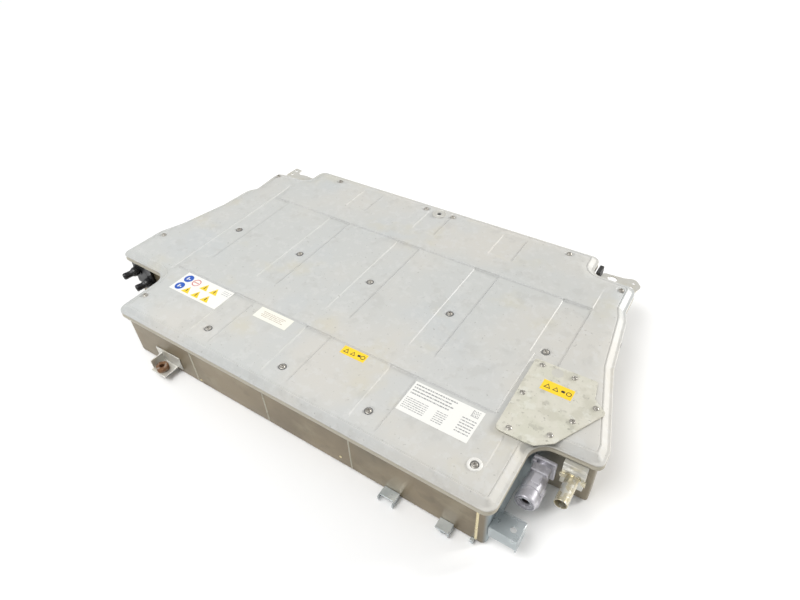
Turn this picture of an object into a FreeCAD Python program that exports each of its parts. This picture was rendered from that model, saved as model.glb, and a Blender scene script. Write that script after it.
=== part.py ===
import FreeCAD, Part
import math
import os
import re

# Traction battery pack: a flat steel tray with a stamped lid, holding eight modules of
# prismatic cells, a cooling plate, cross members, a junction box and its ports.
# Frame: +X right along the front edge, +Y to the back, +Z up. The origin is on the tray's
# underside, below the middle of the pack. Lengths are in millimetres.

Vector = FreeCAD.Vector
Rotation = FreeCAD.Rotation

SIZES = [
    ("half_length", 713, "half the overall length of the lid"),
    ("half_width", 421, "half the overall width of the lid"),
    ("front_left_x", -517, "left end of the straight front edge"),
    ("front_right_x", 575, "right end of the straight front edge"),
    ("left_notch_y", -258, "back of the left notch, where the coolant ports are"),
    ("right_notch_y", -226, "back of the right notch, where the electrical ports are"),
    ("skirt_bottom", 137, "lower edge of the lid's skirt"),
    ("flange_top", 153, "top of the lid's flange"),
    ("front_top", 162.6, "top of the lid's front terrace"),
    ("middle_top", 165, "top of the lid's middle terrace"),
    ("back_top", 167.4, "top of the lid's back terrace"),
    ("middle_terrace_y", -216, "front edge of the middle terrace"),
    ("back_terrace_y", 194, "front edge of the back terrace"),
    ("panel_rise", 1.4, "height of the raised panels"),
    ("lid_sheet", 1.5, "lid sheet thickness"),
    ("flange_width", 18, "flat flange around the lid"),
    ("wall_inset", 12, "tray wall behind the lid's edge"),
    ("tray_sheet", 2.5, "tray sheet thickness"),
    ("tray_floor", 3, "tray floor thickness"),
    ("tray_flange_inset", 3, "edge of the tray's flange behind the lid's edge"),
    ("tray_top", 149, "top of the tray's flange"),
    ("first_column_x", -487, "first line of cross members"),
    ("column_pitch", 247, "spacing of the cross members"),
    ("band_width", 73, "recessed screw bands of the lid"),
    ("member_width", 40, "cross member width"),
    ("member_top", 120, "cross member top face"),
    ("member_sheet", 2, "cross member sheet thickness"),
    ("post_radius", 8, "screw posts on the cross members"),
    ("pillar_radius", 6, "screw pillars that stand on the tray floor"),
    ("screw_hole_radius", 4.1, "clearance hole of a lid screw"),
    ("screw_shank_radius", 4, "lid screw shank"),
    ("screw_head_radius", 8.5, "lid screw head"),
    ("screw_head_height", 4, "lid screw head height"),
    ("plate_bottom", 4, "underside of the cooling plate"),
    ("plate_top", 14, "top of the cooling plate"),
    ("module_width", 151, "module width"),
    ("module_length", 355, "module length"),
    ("module_bottom", 15, "underside of a module"),
    ("module_top", 112, "top of a module's frame"),
    ("module_row_y", 188, "distance of a module row from the middle line"),
    ("end_plate", 12, "module end plate thickness"),
    ("side_plate", 2, "module side plate thickness"),
    ("cell_thickness", 26.5, "cell thickness"),
    ("cell_pitch", 27.5, "cell spacing"),
    ("cell_width", 145, "cell width"),
    ("cell_height", 91, "cell height"),
    ("terminal_size", 18, "cell terminal length and width"),
    ("terminal_height", 4, "cell terminal height"),
    ("link_thickness", 2, "cell link thickness"),
    ("bar_bottom", 124, "underside of the copper bars"),
    ("bar_thickness", 3, "copper bar thickness"),
    ("bar_width", 20, "copper bar width"),
    ("bush_radius", 16, "outer radius of the mounting bush"),
    ("contactor_size", 46, "contactor housing width"),
    ("contactor_bottom", 16, "underside of a contactor"),
    ("contactor_top", 106, "top of a contactor housing"),
    ("core_radius", 11, "contactor armature core"),
    ("contact_travel", 2.5, "travel of a contactor armature"),
    ("hv_axis_x", 605, "high voltage connector axis"),
    ("port_axis_z", 97, "height of the electrical ports"),
    ("hv_radius", 23, "high voltage connector shell"),
    ("hv_front_y", -335, "front face of the high voltage connector"),
    ("tube_axis_x", 665, "vent tube axis"),
    ("tube_radius", 14, "vent tube outside"),
    ("tube_bore", 12.5, "vent tube inside"),
    ("tube_front_y", -300, "front end of the vent tube"),
    ("inlet_x", -662, "upper coolant port axis"),
    ("inlet_z", 113, "upper coolant port height"),
    ("outlet_x", -618, "lower coolant port axis"),
    ("outlet_z", 88, "lower coolant port height"),
    ("stub_radius", 9, "coolant port stub"),
    ("stub_bore", 7, "coolant port bore"),
    ("elbow_clearance", 0.06, "running clearance of an elbow on its stub"),
    ("elbow_radius", 14, "elbow collar outside"),
    ("nozzle_radius", 10, "elbow nozzle outside"),
    ("bracket_sheet", 3, "bracket sheet thickness"),
    ("mount_hole_radius", 6.5, "clearance hole for an M12 bolt"),
    ("cover_sheet", 3, "service cover thickness"),
    ("seal_height", 1.2, "service cover seal thickness"),
]

doc = FreeCAD.newDocument("battery_pack")
sheet = doc.addObject("Spreadsheet::Sheet", "Sizes")
for row, (alias, number, note) in enumerate(SIZES, start=1):
    sheet.set("A%d" % row, alias)
    sheet.set("B%d" % row, str(number))
    sheet.setAlias("B%d" % row, alias)
    sheet.set("C%d" % row, note)
doc.recompute()

ALIASES = [alias for alias, number, note in SIZES]
ALIAS_WORD = re.compile(r"\b(%s)\b" % "|".join(ALIASES))
nodes = {}


# ---------------------------------------------------------------- helpers

def formula(text):
    """Turn words of the sheet into references that an expression can read."""
    return ALIAS_WORD.sub(lambda match: "Sizes." + match.group(1), str(text))


def value(text):
    """The number that a formula over the sheet has now."""
    return float(sheet.evalExpression(formula(text)))


def bind(item, **properties):
    """Bind properties of an object to formulas over the sheet."""
    for name, text in properties.items():
        item.setExpression(name.replace("__", "."), formula(text))


def move_to(item, x, y, z, rotation=None):
    """Place an object at a bound point, turned by a fixed rotation."""
    if rotation is not None:
        item.Placement = FreeCAD.Placement(Vector(), rotation)
    bind(item, Placement__Base__x=x, Placement__Base__y=y, Placement__Base__z=z)
    return item


def keep(item, label):
    """Name a finished sub-part."""
    item.Label = label
    nodes[label] = item
    return item


def block(name, x, y, z):
    """A box between two formulas along each axis."""
    box = doc.addObject("Part::Box", name)
    bind(box, Length="(%s) - (%s)" % (x[1], x[0]))
    bind(box, Width="(%s) - (%s)" % (y[1], y[0]))
    bind(box, Height="(%s) - (%s)" % (z[1], z[0]))
    return move_to(box, x[0], y[0], z[0])


def rod(name, radius, length, base, direction=Vector(0, 0, 1)):
    """A cylinder from a base point along a direction."""
    cylinder = doc.addObject("Part::Cylinder", name)
    bind(cylinder, Radius=radius, Height=length)
    return move_to(cylinder, base[0], base[1], base[2], Rotation(Vector(0, 0, 1), direction))


def fuse(name, items):
    """Join solids."""
    joined = doc.addObject("Part::MultiFuse", name)
    joined.Shapes = items
    return joined


def cut(name, base, tool):
    """Take one solid away from another."""
    result = doc.addObject("Part::Cut", name)
    result.Base = base
    result.Tool = tool
    return result


def common(name, first, second):
    """Keep what two solids share."""
    result = doc.addObject("Part::MultiCommon", name)
    result.Shapes = [first, second]
    return result


def group(name, items):
    """Separate solids kept as one sub-part."""
    compound = doc.addObject("Part::Compound", name)
    compound.Links = items
    return compound


def rounded_edges(corners):
    """Straight runs joined by tangent arcs; each corner is (x, y, radius)."""
    starts, ends, arcs = [], [], []
    count = len(corners)
    for index, (x, y, radius) in enumerate(corners):
        here = Vector(x, y, 0)
        before = Vector(*corners[index - 1][:2], 0).sub(here).normalize()
        after = Vector(*corners[(index + 1) % count][:2], 0).sub(here).normalize()
        half_angle = before.getAngle(after) / 2
        reach = radius / math.tan(half_angle)
        middle = before.add(after).normalize()
        centre_distance = radius / math.sin(half_angle)
        starts.append(here.add(before * reach))
        ends.append(here.add(after * reach))
        arcs.append(here.add(middle * (centre_distance - radius)))
    edges = []
    for index in range(count):
        if corners[index][2] > 0:
            edges.append(Part.Arc(starts[index], arcs[index], ends[index]))
        edges.append(Part.LineSegment(ends[index], starts[(index + 1) % count]))
    return edges


def sketch_on(body, name, role, offset=None):
    """A sketch on one of a body's own origin planes."""
    sketch = body.newObject("Sketcher::SketchObject", name)
    plane = [item for item in body.Origin.OriginFeatures if item.Role == role][0]
    sketch.AttachmentSupport = [(plane, "")]
    sketch.MapMode = "FlatFace"
    if offset is not None:
        bind(sketch, AttachmentOffset__Base__z=offset)
    return sketch


def plate(label, corners, bottom, thickness, holes=(), role="XY_Plane"):
    """A flat plate with round holes, padded from one sketch; holes are (x, y, radius)."""
    body = doc.addObject("PartDesign::Body", label + "_body")
    sketch = sketch_on(body, label + "_outline", role, bottom)
    sketch.addGeometry(rounded_edges(corners))
    for x, y, radius in holes:
        sketch.addGeometry(Part.Circle(Vector(x, y, 0), Vector(0, 0, 1), radius))
    pad = body.newObject("PartDesign::Pad", label + "_pad")
    pad.Profile = sketch
    bind(pad, Length=thickness)
    return body


def tube_run(points, radius, bend_radius):
    """A round bar along straight runs joined by tangent arcs."""
    edges = []
    start = points[0]
    for before, here, after in zip(points, points[1:], points[2:]):
        inward = before.sub(here).normalize()
        outward = after.sub(here).normalize()
        half_angle = inward.getAngle(outward) / 2
        reach = bend_radius / math.tan(half_angle)
        middle = inward.add(outward).normalize() * (bend_radius / math.sin(half_angle) - bend_radius)
        arc_start = here.add(inward * reach)
        arc_end = here.add(outward * reach)
        edges.append(Part.LineSegment(start, arc_start).toShape())
        edges.append(Part.Arc(arc_start, here.add(middle), arc_end).toShape())
        start = arc_end
    edges.append(Part.LineSegment(start, points[-1]).toShape())
    path = Part.Wire(edges)
    ring = Part.Circle(points[0], points[1].sub(points[0]), radius).toShape()
    return path.makePipeShell([Part.Wire(ring)], True, False)


# ---------------------------------------------------------------- outline of the pack

half_length = value("half_length")
half_width = value("half_width")
left_notch_y = value("left_notch_y")
right_notch_y = value("right_notch_y")

OUTLINE = [
    (value("front_left_x"), -half_width, 25),
    (value("front_right_x"), -half_width, 25),
    (value("front_right_x"), right_notch_y, 45),
    (half_length, right_notch_y + 5, 18),
    (half_length - 1, -175, 10),
    (650, 35, 60),
    (626, 205, 12),
    (614, 240, 12),
    (612, 340, 28),
    (490, 346, 25),
    (490, half_width, 24),
    (-496, half_width, 22),
    (-500, 340, 26),
    (-628, 336, 25),
    (-620, 220, 12),
    (-640, 190, 12),
    (-648, 91, 60),
    (-680, -53, 100),
    (-707, -120, 40),
    (-half_length, left_notch_y + 3, 20),
    (value("front_left_x"), left_notch_y, 35),
]

outline = doc.addObject("Sketcher::SketchObject", "pack_outline")
outline.addGeometry(rounded_edges(OUTLINE))


def slab(name, inset, bottom, top):
    """Extrude the outline, moved inwards by an inset, between two heights."""
    profile = outline
    if inset != "0":
        profile = doc.addObject("Part::Offset2D", name + "_edge")
        profile.Source = outline
        profile.Join = "Intersection"
        bind(profile, Value="-(%s)" % inset)
    solid = doc.addObject("Part::Extrusion", name)
    solid.Base = profile
    solid.DirMode = "Custom"
    solid.Dir = Vector(0, 0, 1)
    solid.Solid = True
    bind(solid, LengthFwd="(%s) - (%s)" % (top, bottom), Placement__Base__z=bottom)
    return solid


COLUMNS = 5
BAYS = COLUMNS - 1
member_x = ["first_column_x + %d * column_pitch" % index for index in range(COLUMNS)]
bay_x = ["first_column_x + %.1f * column_pitch" % (index + 0.5) for index in range(BAYS)]
FRONT_SCREW_Y = -349
MIDDLE_SCREW_Y = 2
SCREW_SHIFTS = [2, -4, -5, -8, -1]
screw_x = ["%s + %d" % (x, shift) for x, shift in zip(member_x, SCREW_SHIFTS)]

# Lid screws away from the cross members: (x, y, lid top at that place).
OUTER_SCREWS = [
    (-383, 376, "back_top"),
    (-48, 376, "back_top"),
    (45, 375, "back_top"),
    (412, 377, "back_top"),
    (580, 298, "back_top"),
    (-592, 300, "back_top"),
    (-663, -136, "middle_top"),
]

lid_screw_places = []
for column in range(COLUMNS):
    lid_screw_places.append((screw_x[column], FRONT_SCREW_Y, "front_top"))
    lid_screw_places.append((screw_x[column], MIDDLE_SCREW_Y, "middle_top"))
lid_screw_places += OUTER_SCREWS

# ---------------------------------------------------------------- tray

PORT_HOLES = [
    ("hv_axis_x", "right_notch_y + 30", "port_axis_z", 20),
    ("tube_axis_x", "right_notch_y + 30", "port_axis_z", "tube_bore"),
    ("inlet_x", "left_notch_y + 30", "inlet_z", "stub_bore"),
    ("outlet_x", "left_notch_y + 30", "outlet_z", "stub_bore"),
]
TOWARDS_FRONT = Vector(0, -1, 0)

tray_outside = slab("tray_outside", "wall_inset", "0", "tray_top")
tray_rim = slab("tray_rim", "tray_flange_inset", "tray_top - tray_sheet", "tray_top")
tray_inside = slab("tray_inside", "wall_inset + tray_sheet", "tray_floor", "tray_top + 1")
tray_ports = []
for index, (x, y, z, radius) in enumerate(PORT_HOLES):
    tray_ports.append(rod("tray_port_%d" % index, radius, 40, (x, y, z), TOWARDS_FRONT))
tray_tools = fuse("tray_tools", [tray_inside] + tray_ports)
keep(cut("tray_shell", fuse("tray_solid", [tray_outside, tray_rim]), tray_tools), "tray")

# ---------------------------------------------------------------- lid, its seal and screws

PAST_BACK = "half_width + 20"
PAST_SIDE = "half_length + 20"


def terrace(name, inset, bottom, top, front_y):
    """The part of a slab that lies behind a line across the lid."""
    solid = slab(name + "_slab", inset, bottom, top)
    across = ("-(%s)" % PAST_SIDE, PAST_SIDE)
    keeper = block(name + "_keeper", across, (front_y, PAST_BACK), (bottom, top))
    return common(name, solid, keeper)


def panels():
    """Raised panels between the recessed bands, in three rows."""
    rows = [
        ("front", -396, "middle_terrace_y - 4", "front_top"),
        ("middle", -148, "back_terrace_y - 4", "middle_top"),
        ("back", 269, 350, "back_top"),
    ]
    raised = []
    for row_name, front_y, back_y, top in rows:
        for bay in range(BAYS):
            left = member_x[bay] + " + band_width / 2"
            right = member_x[bay + 1] + " - band_width / 2"
            name = "panel_%s_%d" % (row_name, bay)
            height = (top + " - 1", top + " + panel_rise")
            raised.append(block(name, (left, right), (front_y, back_y), height))
    return raised


lid_outer = fuse("lid_outer", [
    slab("lid_flange", "0", "skirt_bottom", "flange_top"),
    slab("lid_step", "flange_width", "flange_top - 1", "front_top"),
    terrace("lid_middle", "flange_width + 2", "flange_top", "middle_top", "middle_terrace_y"),
    terrace("lid_back", "flange_width + 2", "flange_top", "back_top", "back_terrace_y"),
] + panels())

SERVICE_HOLE = [(518, -228, 8), (575, -228, 20), (592, -200, 12), (638, -112, 8), (616, -90, 8),
                (612, -58, 8), (518, -58, 8)]
service_hole = plate("service_hole", SERVICE_HOLE, "flange_top - 10", 30)

lid_tools = [
    slab("lid_inside_skirt", "lid_sheet", "skirt_bottom - 1", "flange_top - lid_sheet"),
    slab("lid_inside_front", "flange_width + lid_sheet", "skirt_bottom", "front_top - lid_sheet"),
    terrace("lid_inside_middle", "flange_width + 2 + lid_sheet", "skirt_bottom", "middle_top - lid_sheet",
            "middle_terrace_y + lid_sheet"),
    terrace("lid_inside_back", "flange_width + 2 + lid_sheet", "skirt_bottom", "back_top - lid_sheet",
            "back_terrace_y + lid_sheet"),
    service_hole,
]
for index, (x, y, top) in enumerate(lid_screw_places):
    lid_tools.append(rod("lid_hole_%d" % index, "screw_hole_radius", 20, (x, y, top + " - 10")))
keep(cut("lid_shell", lid_outer, fuse("lid_tools", lid_tools)), "lid")

seal_outer = slab("seal_outer", "tray_flange_inset + 0.5", "tray_top", "flange_top - lid_sheet")
seal_inner = slab("seal_inner", "wall_inset + 1", "tray_top - 1", "flange_top")
keep(cut("seal_ring", seal_outer, seal_inner), "lid_seal")

screws = []
for index, (x, y, top) in enumerate(lid_screw_places):
    name = "lid_screw_%d" % index
    head = rod(name + "_head", "screw_head_radius", "screw_head_height", (x, y, top))
    shank = rod(name + "_shank", "screw_shank_radius", 22, (x, y, top + " - 21.5"))
    socket = rod(name + "_socket", 3, 4, (x, y, top + " + screw_head_height - 2.5"))
    screws.append(cut(name, fuse(name + "_blank", [head, shank]), socket))
keep(group("lid_screw_set", screws), "lid_screws")

washer_ring = rod("washer_ring", 15, 1.2, (screw_x[-1], FRONT_SCREW_Y, "front_top"))
washer_hole = rod("washer_hole", "screw_head_radius + 0.3", 3, (screw_x[-1], FRONT_SCREW_Y, "front_top - 1"))
keep(cut("washer", washer_ring, washer_hole), "lid_washer")

pillars = []
for index, (x, y, top) in enumerate(OUTER_SCREWS):
    name = "pillar_%d" % index
    post = rod(name + "_post", "pillar_radius", top + " - lid_sheet - tray_floor", (x, y, "tray_floor"))
    thread = rod(name + "_thread", "screw_hole_radius", 60, (x, y, "skirt_bottom"))
    pillars.append(cut(name, post, thread))
keep(group("pillars", pillars), "lid_pillars")

# ---------------------------------------------------------------- cross members

MEMBER_FRONT_Y = "-(half_width - wall_inset - tray_sheet - 12)"
MEMBER_BACK_Y = "half_width - wall_inset - tray_sheet - 12"
MEMBER_OFFSETS = [7, 0, 0, 0, 0]
SHORT_MEMBER_BACK_Y = 325


def cross_member(index):
    """An upside-down channel with two screw posts that carry the lid."""
    name = "member_%d" % (index + 1)
    centre = "%s + %d" % (member_x[index], MEMBER_OFFSETS[index])
    on_plate = 0 < index < COLUMNS - 1
    bottom = "plate_top" if on_plate else "tray_floor"
    back = MEMBER_BACK_Y if on_plate else SHORT_MEMBER_BACK_Y
    left, right = centre + " - member_width / 2", centre + " + member_width / 2"
    channel = block(name + "_outside", (left, right), (MEMBER_FRONT_Y, back), (bottom, "member_top"))
    hollow = block(name + "_hollow", (left + " + member_sheet", right + " - member_sheet"),
                   (MEMBER_FRONT_Y + " - 1", "(%s) + 1" % back),
                   (bottom + " - 1", "member_top - member_sheet"))
    posts, threads = [], []
    for place, (y, top) in enumerate([(FRONT_SCREW_Y, "front_top"), (MIDDLE_SCREW_Y, "middle_top")]):
        height = top + " - lid_sheet - member_top"
        post_base = (screw_x[index], y, "member_top")
        posts.append(rod("%s_post_%d" % (name, place), "post_radius", height, post_base))
        hole_base = (screw_x[index], y, "member_top - 5")
        threads.append(rod("%s_thread_%d" % (name, place), "screw_hole_radius", 60, hole_base))
    solid = fuse(name + "_solid", [channel] + posts)
    return cut(name, solid, fuse(name + "_tools", [hollow] + threads))


for column in range(COLUMNS):
    keep(cross_member(column), "cross_member_%d" % (column + 1))

# ---------------------------------------------------------------- cooling plate and its pipes

MANIFOLD_X = (-530, -502)
PIPE_Z = 20
INLET_TURN_Y = -190
OUTLET_TURN_Y = -130
PIPE_BEND = 20
cooling_slab = block("cooling_slab", (-496, 475), (-380, 365), ("plate_bottom", "plate_top"))
manifold = block("manifold", MANIFOLD_X, (-215, -105), ("plate_bottom", 34))
# The first cross member stands on the floor, so the plate passes below it in a cut-out.
MEMBER_ROOM_X = ("first_column_x + 6 - member_width / 2", "first_column_x + 8 + member_width / 2")
foot_room = block("foot_room", MEMBER_ROOM_X, (-400, 400), (-1, 60))
plate_arm = block("plate_arm", (MANIFOLD_X[0], "first_column_x + 40"), (-215, -105),
                  ("plate_bottom", "plate_top"))
member_arch = block("member_arch", MEMBER_ROOM_X, (-216, -104), (0, 35))
trimmed_plate = cut("trimmed_plate", cooling_slab, foot_room)
keep(fuse("cooling_solid", [trimmed_plate, plate_arm, manifold]), "cooling_plate")
cross_member_1 = nodes.pop("cross_member_1")
keep(cut("member_1_arched", cross_member_1, member_arch), "cross_member_1")
cross_member_1.Label = "member_1_plain"


def coolant_pipe(label, x, z, turn_y):
    """A rigid pipe from the port through the tray wall down to the manifold."""
    inner_wall_y = left_notch_y + value("wall_inset + tray_sheet") + 2.5
    points = [
        Vector(x, inner_wall_y, z),
        Vector(x, turn_y, z),
        Vector(x, turn_y, PIPE_Z),
        Vector(MANIFOLD_X[0], turn_y, PIPE_Z),
    ]
    pipe = doc.addObject("Part::Feature", label + "_run")
    pipe.Shape = tube_run(points, value("stub_radius"), PIPE_BEND)
    pipe.Placement = FreeCAD.Placement()
    return keep(pipe, label)


coolant_pipe("coolant_pipe_inlet", value("inlet_x"), value("inlet_z"), INLET_TURN_Y)
coolant_pipe("coolant_pipe_outlet", value("outlet_x"), value("outlet_z"), OUTLET_TURN_Y)

# ---------------------------------------------------------------- coolant ports in the left notch

PORT_WALL_Y = "left_notch_y + wall_inset"
port_face = block("port_face", ("inlet_x - 18", "outlet_x + 18"),
                  (PORT_WALL_Y + " - 8", PORT_WALL_Y + " - 0.3"), ("outlet_z - 24", "inlet_z + 22"))
port_stubs, port_bores, port_rings = [], [], []
for place in ("inlet", "outlet"):
    axis = (place + "_x", PORT_WALL_Y, place + "_z")
    port_stubs.append(rod(place + "_stub", "stub_radius", 22, axis, TOWARDS_FRONT))
    port_rings.append(rod(place + "_ring", "elbow_radius + 3", 11, axis, TOWARDS_FRONT))
    bore_start = (axis[0], PORT_WALL_Y + " + 10", axis[2])
    port_bores.append(rod(place + "_bore", "stub_bore", 60, bore_start, TOWARDS_FRONT))
port_solid = fuse("port_solid", [port_face] + port_stubs + port_rings)
wall_trim = block("wall_trim", (-720, -520), (PORT_WALL_Y + " - 0.2", PORT_WALL_Y + " + 20"), (0, 160))
keep(cut("port_plate", port_solid, fuse("port_tools", port_bores + [wall_trim])), "coolant_port_plate")

NOZZLE_LEAN = 14
NOZZLE_LENGTH = 30
COLLAR_START = 12
COLLAR_LENGTH = 14


def coolant_elbow(label, place):
    """A quick-connect elbow: a collar that turns on the stub and a leaning hose nozzle."""
    lean = math.radians(NOZZLE_LEAN)
    direction = Vector(-math.sin(lean), -math.cos(lean), 0)
    x, z = place + "_x", place + "_z"
    collar_y = "%s - %d" % (PORT_WALL_Y, COLLAR_START)
    nozzle_y = "%s - %d" % (PORT_WALL_Y, COLLAR_START + COLLAR_LENGTH - 3)
    collar = rod(label + "_collar", "elbow_radius", COLLAR_LENGTH, (x, collar_y, z), TOWARDS_FRONT)
    nozzle = rod(label + "_nozzle", "nozzle_radius", NOZZLE_LENGTH, (x, nozzle_y, z), direction)
    knuckle = doc.addObject("Part::Sphere", label + "_knuckle")
    bind(knuckle, Radius="elbow_radius - 0.5")
    move_to(knuckle, x, nozzle_y, z)
    room_base = (x, collar_y + " + 5", z)
    stub_room = rod(label + "_room", "stub_radius + elbow_clearance", 15.5, room_base, TOWARDS_FRONT)
    duct = rod(label + "_duct", "stub_bore", 90, (x, nozzle_y, z), direction)
    throat = rod(label + "_throat", "stub_bore", 18, room_base, TOWARDS_FRONT)
    solid = fuse(label + "_solid", [collar, nozzle, knuckle])
    return keep(cut(label + "_hollow", solid, fuse(label + "_tools", [stub_room, duct, throat])), label)


coolant_elbow("coolant_elbow_inlet", "inlet")
coolant_elbow("coolant_elbow_outlet", "outlet")

# ---------------------------------------------------------------- modules

CELLS = 12
module_places = [(bay_x[bay], side) for side in (-1, 1) for bay in range(BAYS)]


def module_centre(index):
    """Middle of a module as formulas for x and y."""
    x, side = module_places[index]
    return x, "%d * module_row_y + %d" % (side, MIDDLE_SCREW_Y)


def module_frame(index):
    """Two end plates and two side plates, welded into one frame."""
    x, y = module_centre(index)
    name = "frame_%d" % (index + 1)
    half_w, half_l = "module_width / 2", "module_length / 2"
    outside = block(name + "_outside", (x + " - " + half_w, x + " + " + half_w),
                    (y + " - " + half_l, y + " + " + half_l), ("module_bottom", "module_top"))
    inner_w, inner_l = "(module_width / 2 - side_plate)", "(module_length / 2 - end_plate)"
    hollow = block(name + "_hollow", (x + " - " + inner_w, x + " + " + inner_w),
                   (y + " - " + inner_l, y + " + " + inner_l), ("module_bottom - 1", "module_top + 1"))
    return cut(name, outside, hollow)


cell_can = block("cell_can", ("-cell_width / 2", "cell_width / 2"),
                 ("-cell_thickness / 2", "cell_thickness / 2"),
                 ("module_bottom + 1", "module_bottom + 1 + cell_height"))
cell_posts = []
for side in (-1, 1):
    middle = "%d * (cell_width / 2 - 25)" % side
    across = (middle + " - terminal_size / 2", middle + " + terminal_size / 2")
    height = ("module_bottom + cell_height", "module_bottom + 1 + cell_height + terminal_height")
    cell_posts.append(block("cell_post_%d" % (side + 2), across, ("-terminal_size / 2", "terminal_size / 2"),
                            height))
one_cell = fuse("one_cell", [cell_can] + cell_posts)
doc.recompute()


def cell_offsets(index):
    """Places of the cells along a module."""
    x, y = (value(text) for text in module_centre(index))
    first = -(CELLS - 1) / 2
    return [Vector(x, y + (first + number) * value("cell_pitch"), 0) for number in range(CELLS)]


def module_cells(index):
    """The row of cells, each its own solid."""
    cells = doc.addObject("Part::Feature", "cells_%d" % (index + 1))
    cells.Shape = Part.makeCompound([one_cell.Shape.translated(offset) for offset in cell_offsets(index)])
    cells.Placement = FreeCAD.Placement()
    return cells


def cell_links():
    """Aluminium straps that join the cells of every module in series."""
    length = value("cell_pitch + terminal_size - 4")
    width = value("terminal_size - 4")
    base_z = value("module_bottom + 1 + cell_height + terminal_height")
    straps = []
    for index in range(len(module_places)):
        offsets = cell_offsets(index)
        for number, (near, far) in enumerate(zip(offsets, offsets[1:])):
            side = 1 if number % 2 else -1
            middle_x = near.x + side * value("cell_width / 2 - 25")
            middle_y = (near.y + far.y) / 2
            corner = Vector(middle_x - width / 2, middle_y - length / 2, base_z)
            straps.append(Part.makeBox(width, length, value("link_thickness"), corner))
    links = doc.addObject("Part::Feature", "link_set")
    links.Shape = Part.makeCompound(straps)
    links.Placement = FreeCAD.Placement()
    return links


for index in range(len(module_places)):
    keep(module_frame(index), "module_frame_%d" % (index + 1))
    keep(module_cells(index), "module_cells_%d" % (index + 1))
keep(cell_links(), "cell_links")

covers = []
for index in range(len(module_places)):
    x, y = module_centre(index)
    covers.append(block("module_cover_%d" % (index + 1), (x + " - 38", x + " + 38"),
                        (y + " - 165", y + " + 165"), ("module_top + 3.5", "module_top + 5.5")))
keep(group("cover_set", covers), "module_covers")

# ---------------------------------------------------------------- junction box with two contactors

CONTACTOR_X = 560
CONTACTOR_Y = {"positive": -170, "negative": -112}
POST_SPACING = 24
CHAMBER_BOTTOM = 62
keep(block("junction_plate", (528, 632), (-205, 25), ("tray_floor + 3", "contactor_bottom")), "junction_base")


def contactor(polarity):
    """Housing of a contactor with the bore of its armature and the contact chamber."""
    x, y = CONTACTOR_X, CONTACTOR_Y[polarity]
    half = "contactor_size / 2"
    name = "contactor_" + polarity
    housing = block(name + "_housing", ("%d - %s" % (x, half), "%d + %s" % (x, half)),
                    ("%d - %s" % (y, half), "%d + %s" % (y, half)), ("contactor_bottom", "contactor_top"))
    bore = rod(name + "_bore", "core_radius + 0.5", "%d - contactor_bottom - 6" % CHAMBER_BOTTOM,
               (x, y, "contactor_bottom + 7"))
    chamber = block(name + "_chamber", (x - 20, x + 20), (y - 9, y + 9),
                    (CHAMBER_BOTTOM, "contactor_top - 6"))
    holes = []
    for side in (-1, 1):
        post_x = x + side * POST_SPACING / 2
        holes.append(rod("%s_hole_%d" % (name, side + 2), 4.2, 20, (post_x, y, "contactor_top - 10")))
    return keep(cut(name + "_shell", housing, fuse(name + "_tools", [bore, chamber] + holes)), name)


def armature(polarity):
    """Iron core, push rod and bridging contact, which move up together."""
    x, y = CONTACTOR_X, CONTACTOR_Y[polarity]
    name = "armature_" + polarity
    core = rod(name + "_core", "core_radius", 32, (x, y, "contactor_bottom + 9"))
    push_rod = rod(name + "_rod", 3, 40, (x, y, "contactor_bottom + 40"))
    bridge = block(name + "_bridge", (x - 18, x + 18), (y - 6, y + 6),
                   (CHAMBER_BOTTOM + 18, CHAMBER_BOTTOM + 22))
    return keep(fuse(name + "_solid", [core, push_rod, bridge]), name)


for polarity in ("positive", "negative"):
    contactor(polarity)
    armature(polarity)

FUSE_X = 606
keep(group("fuse_set", [fuse("fuse_solid", [
    rod("fuse_body", 13, 70, (FUSE_X, -85, 106), TOWARDS_FRONT),
    block("fuse_blade_1", (FUSE_X - 8, FUSE_X + 8), (-175, -150), (121, "bar_bottom")),
    block("fuse_foot_1", (FUSE_X - 8, FUSE_X + 8), (-157, -150), (100, 122)),
    block("fuse_blade_2", (FUSE_X - 8, FUSE_X + 8), (-90, -65), (121, "bar_bottom")),
    block("fuse_foot_2", (FUSE_X - 8, FUSE_X + 8), (-90, -83), (100, 122)),
])]), "main_fuse")

sensor_ring = block("sensor_ring", (528, 550), (-60, -20), ("contactor_bottom", 140))
sensor_window = block("sensor_window", (520, 560), (-52, -28), (118, 133))
keep(cut("sensor", sensor_ring, sensor_window), "current_sensor")

# ---------------------------------------------------------------- copper bars and contactor terminals

BAR_TOP = "bar_bottom + bar_thickness"
TAB_Z = ("module_bottom + 3 + cell_height + terminal_height + link_thickness", "bar_bottom + 1")
FRONT_ROW_Y = "%d - module_row_y" % MIDDLE_SCREW_Y
BACK_ROW_Y = "%d + module_row_y" % MIDDLE_SCREW_Y


def bar(name, x, y):
    """A flat copper bar above the modules."""
    return block(name, x, y, ("bar_bottom", BAR_TOP))


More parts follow.
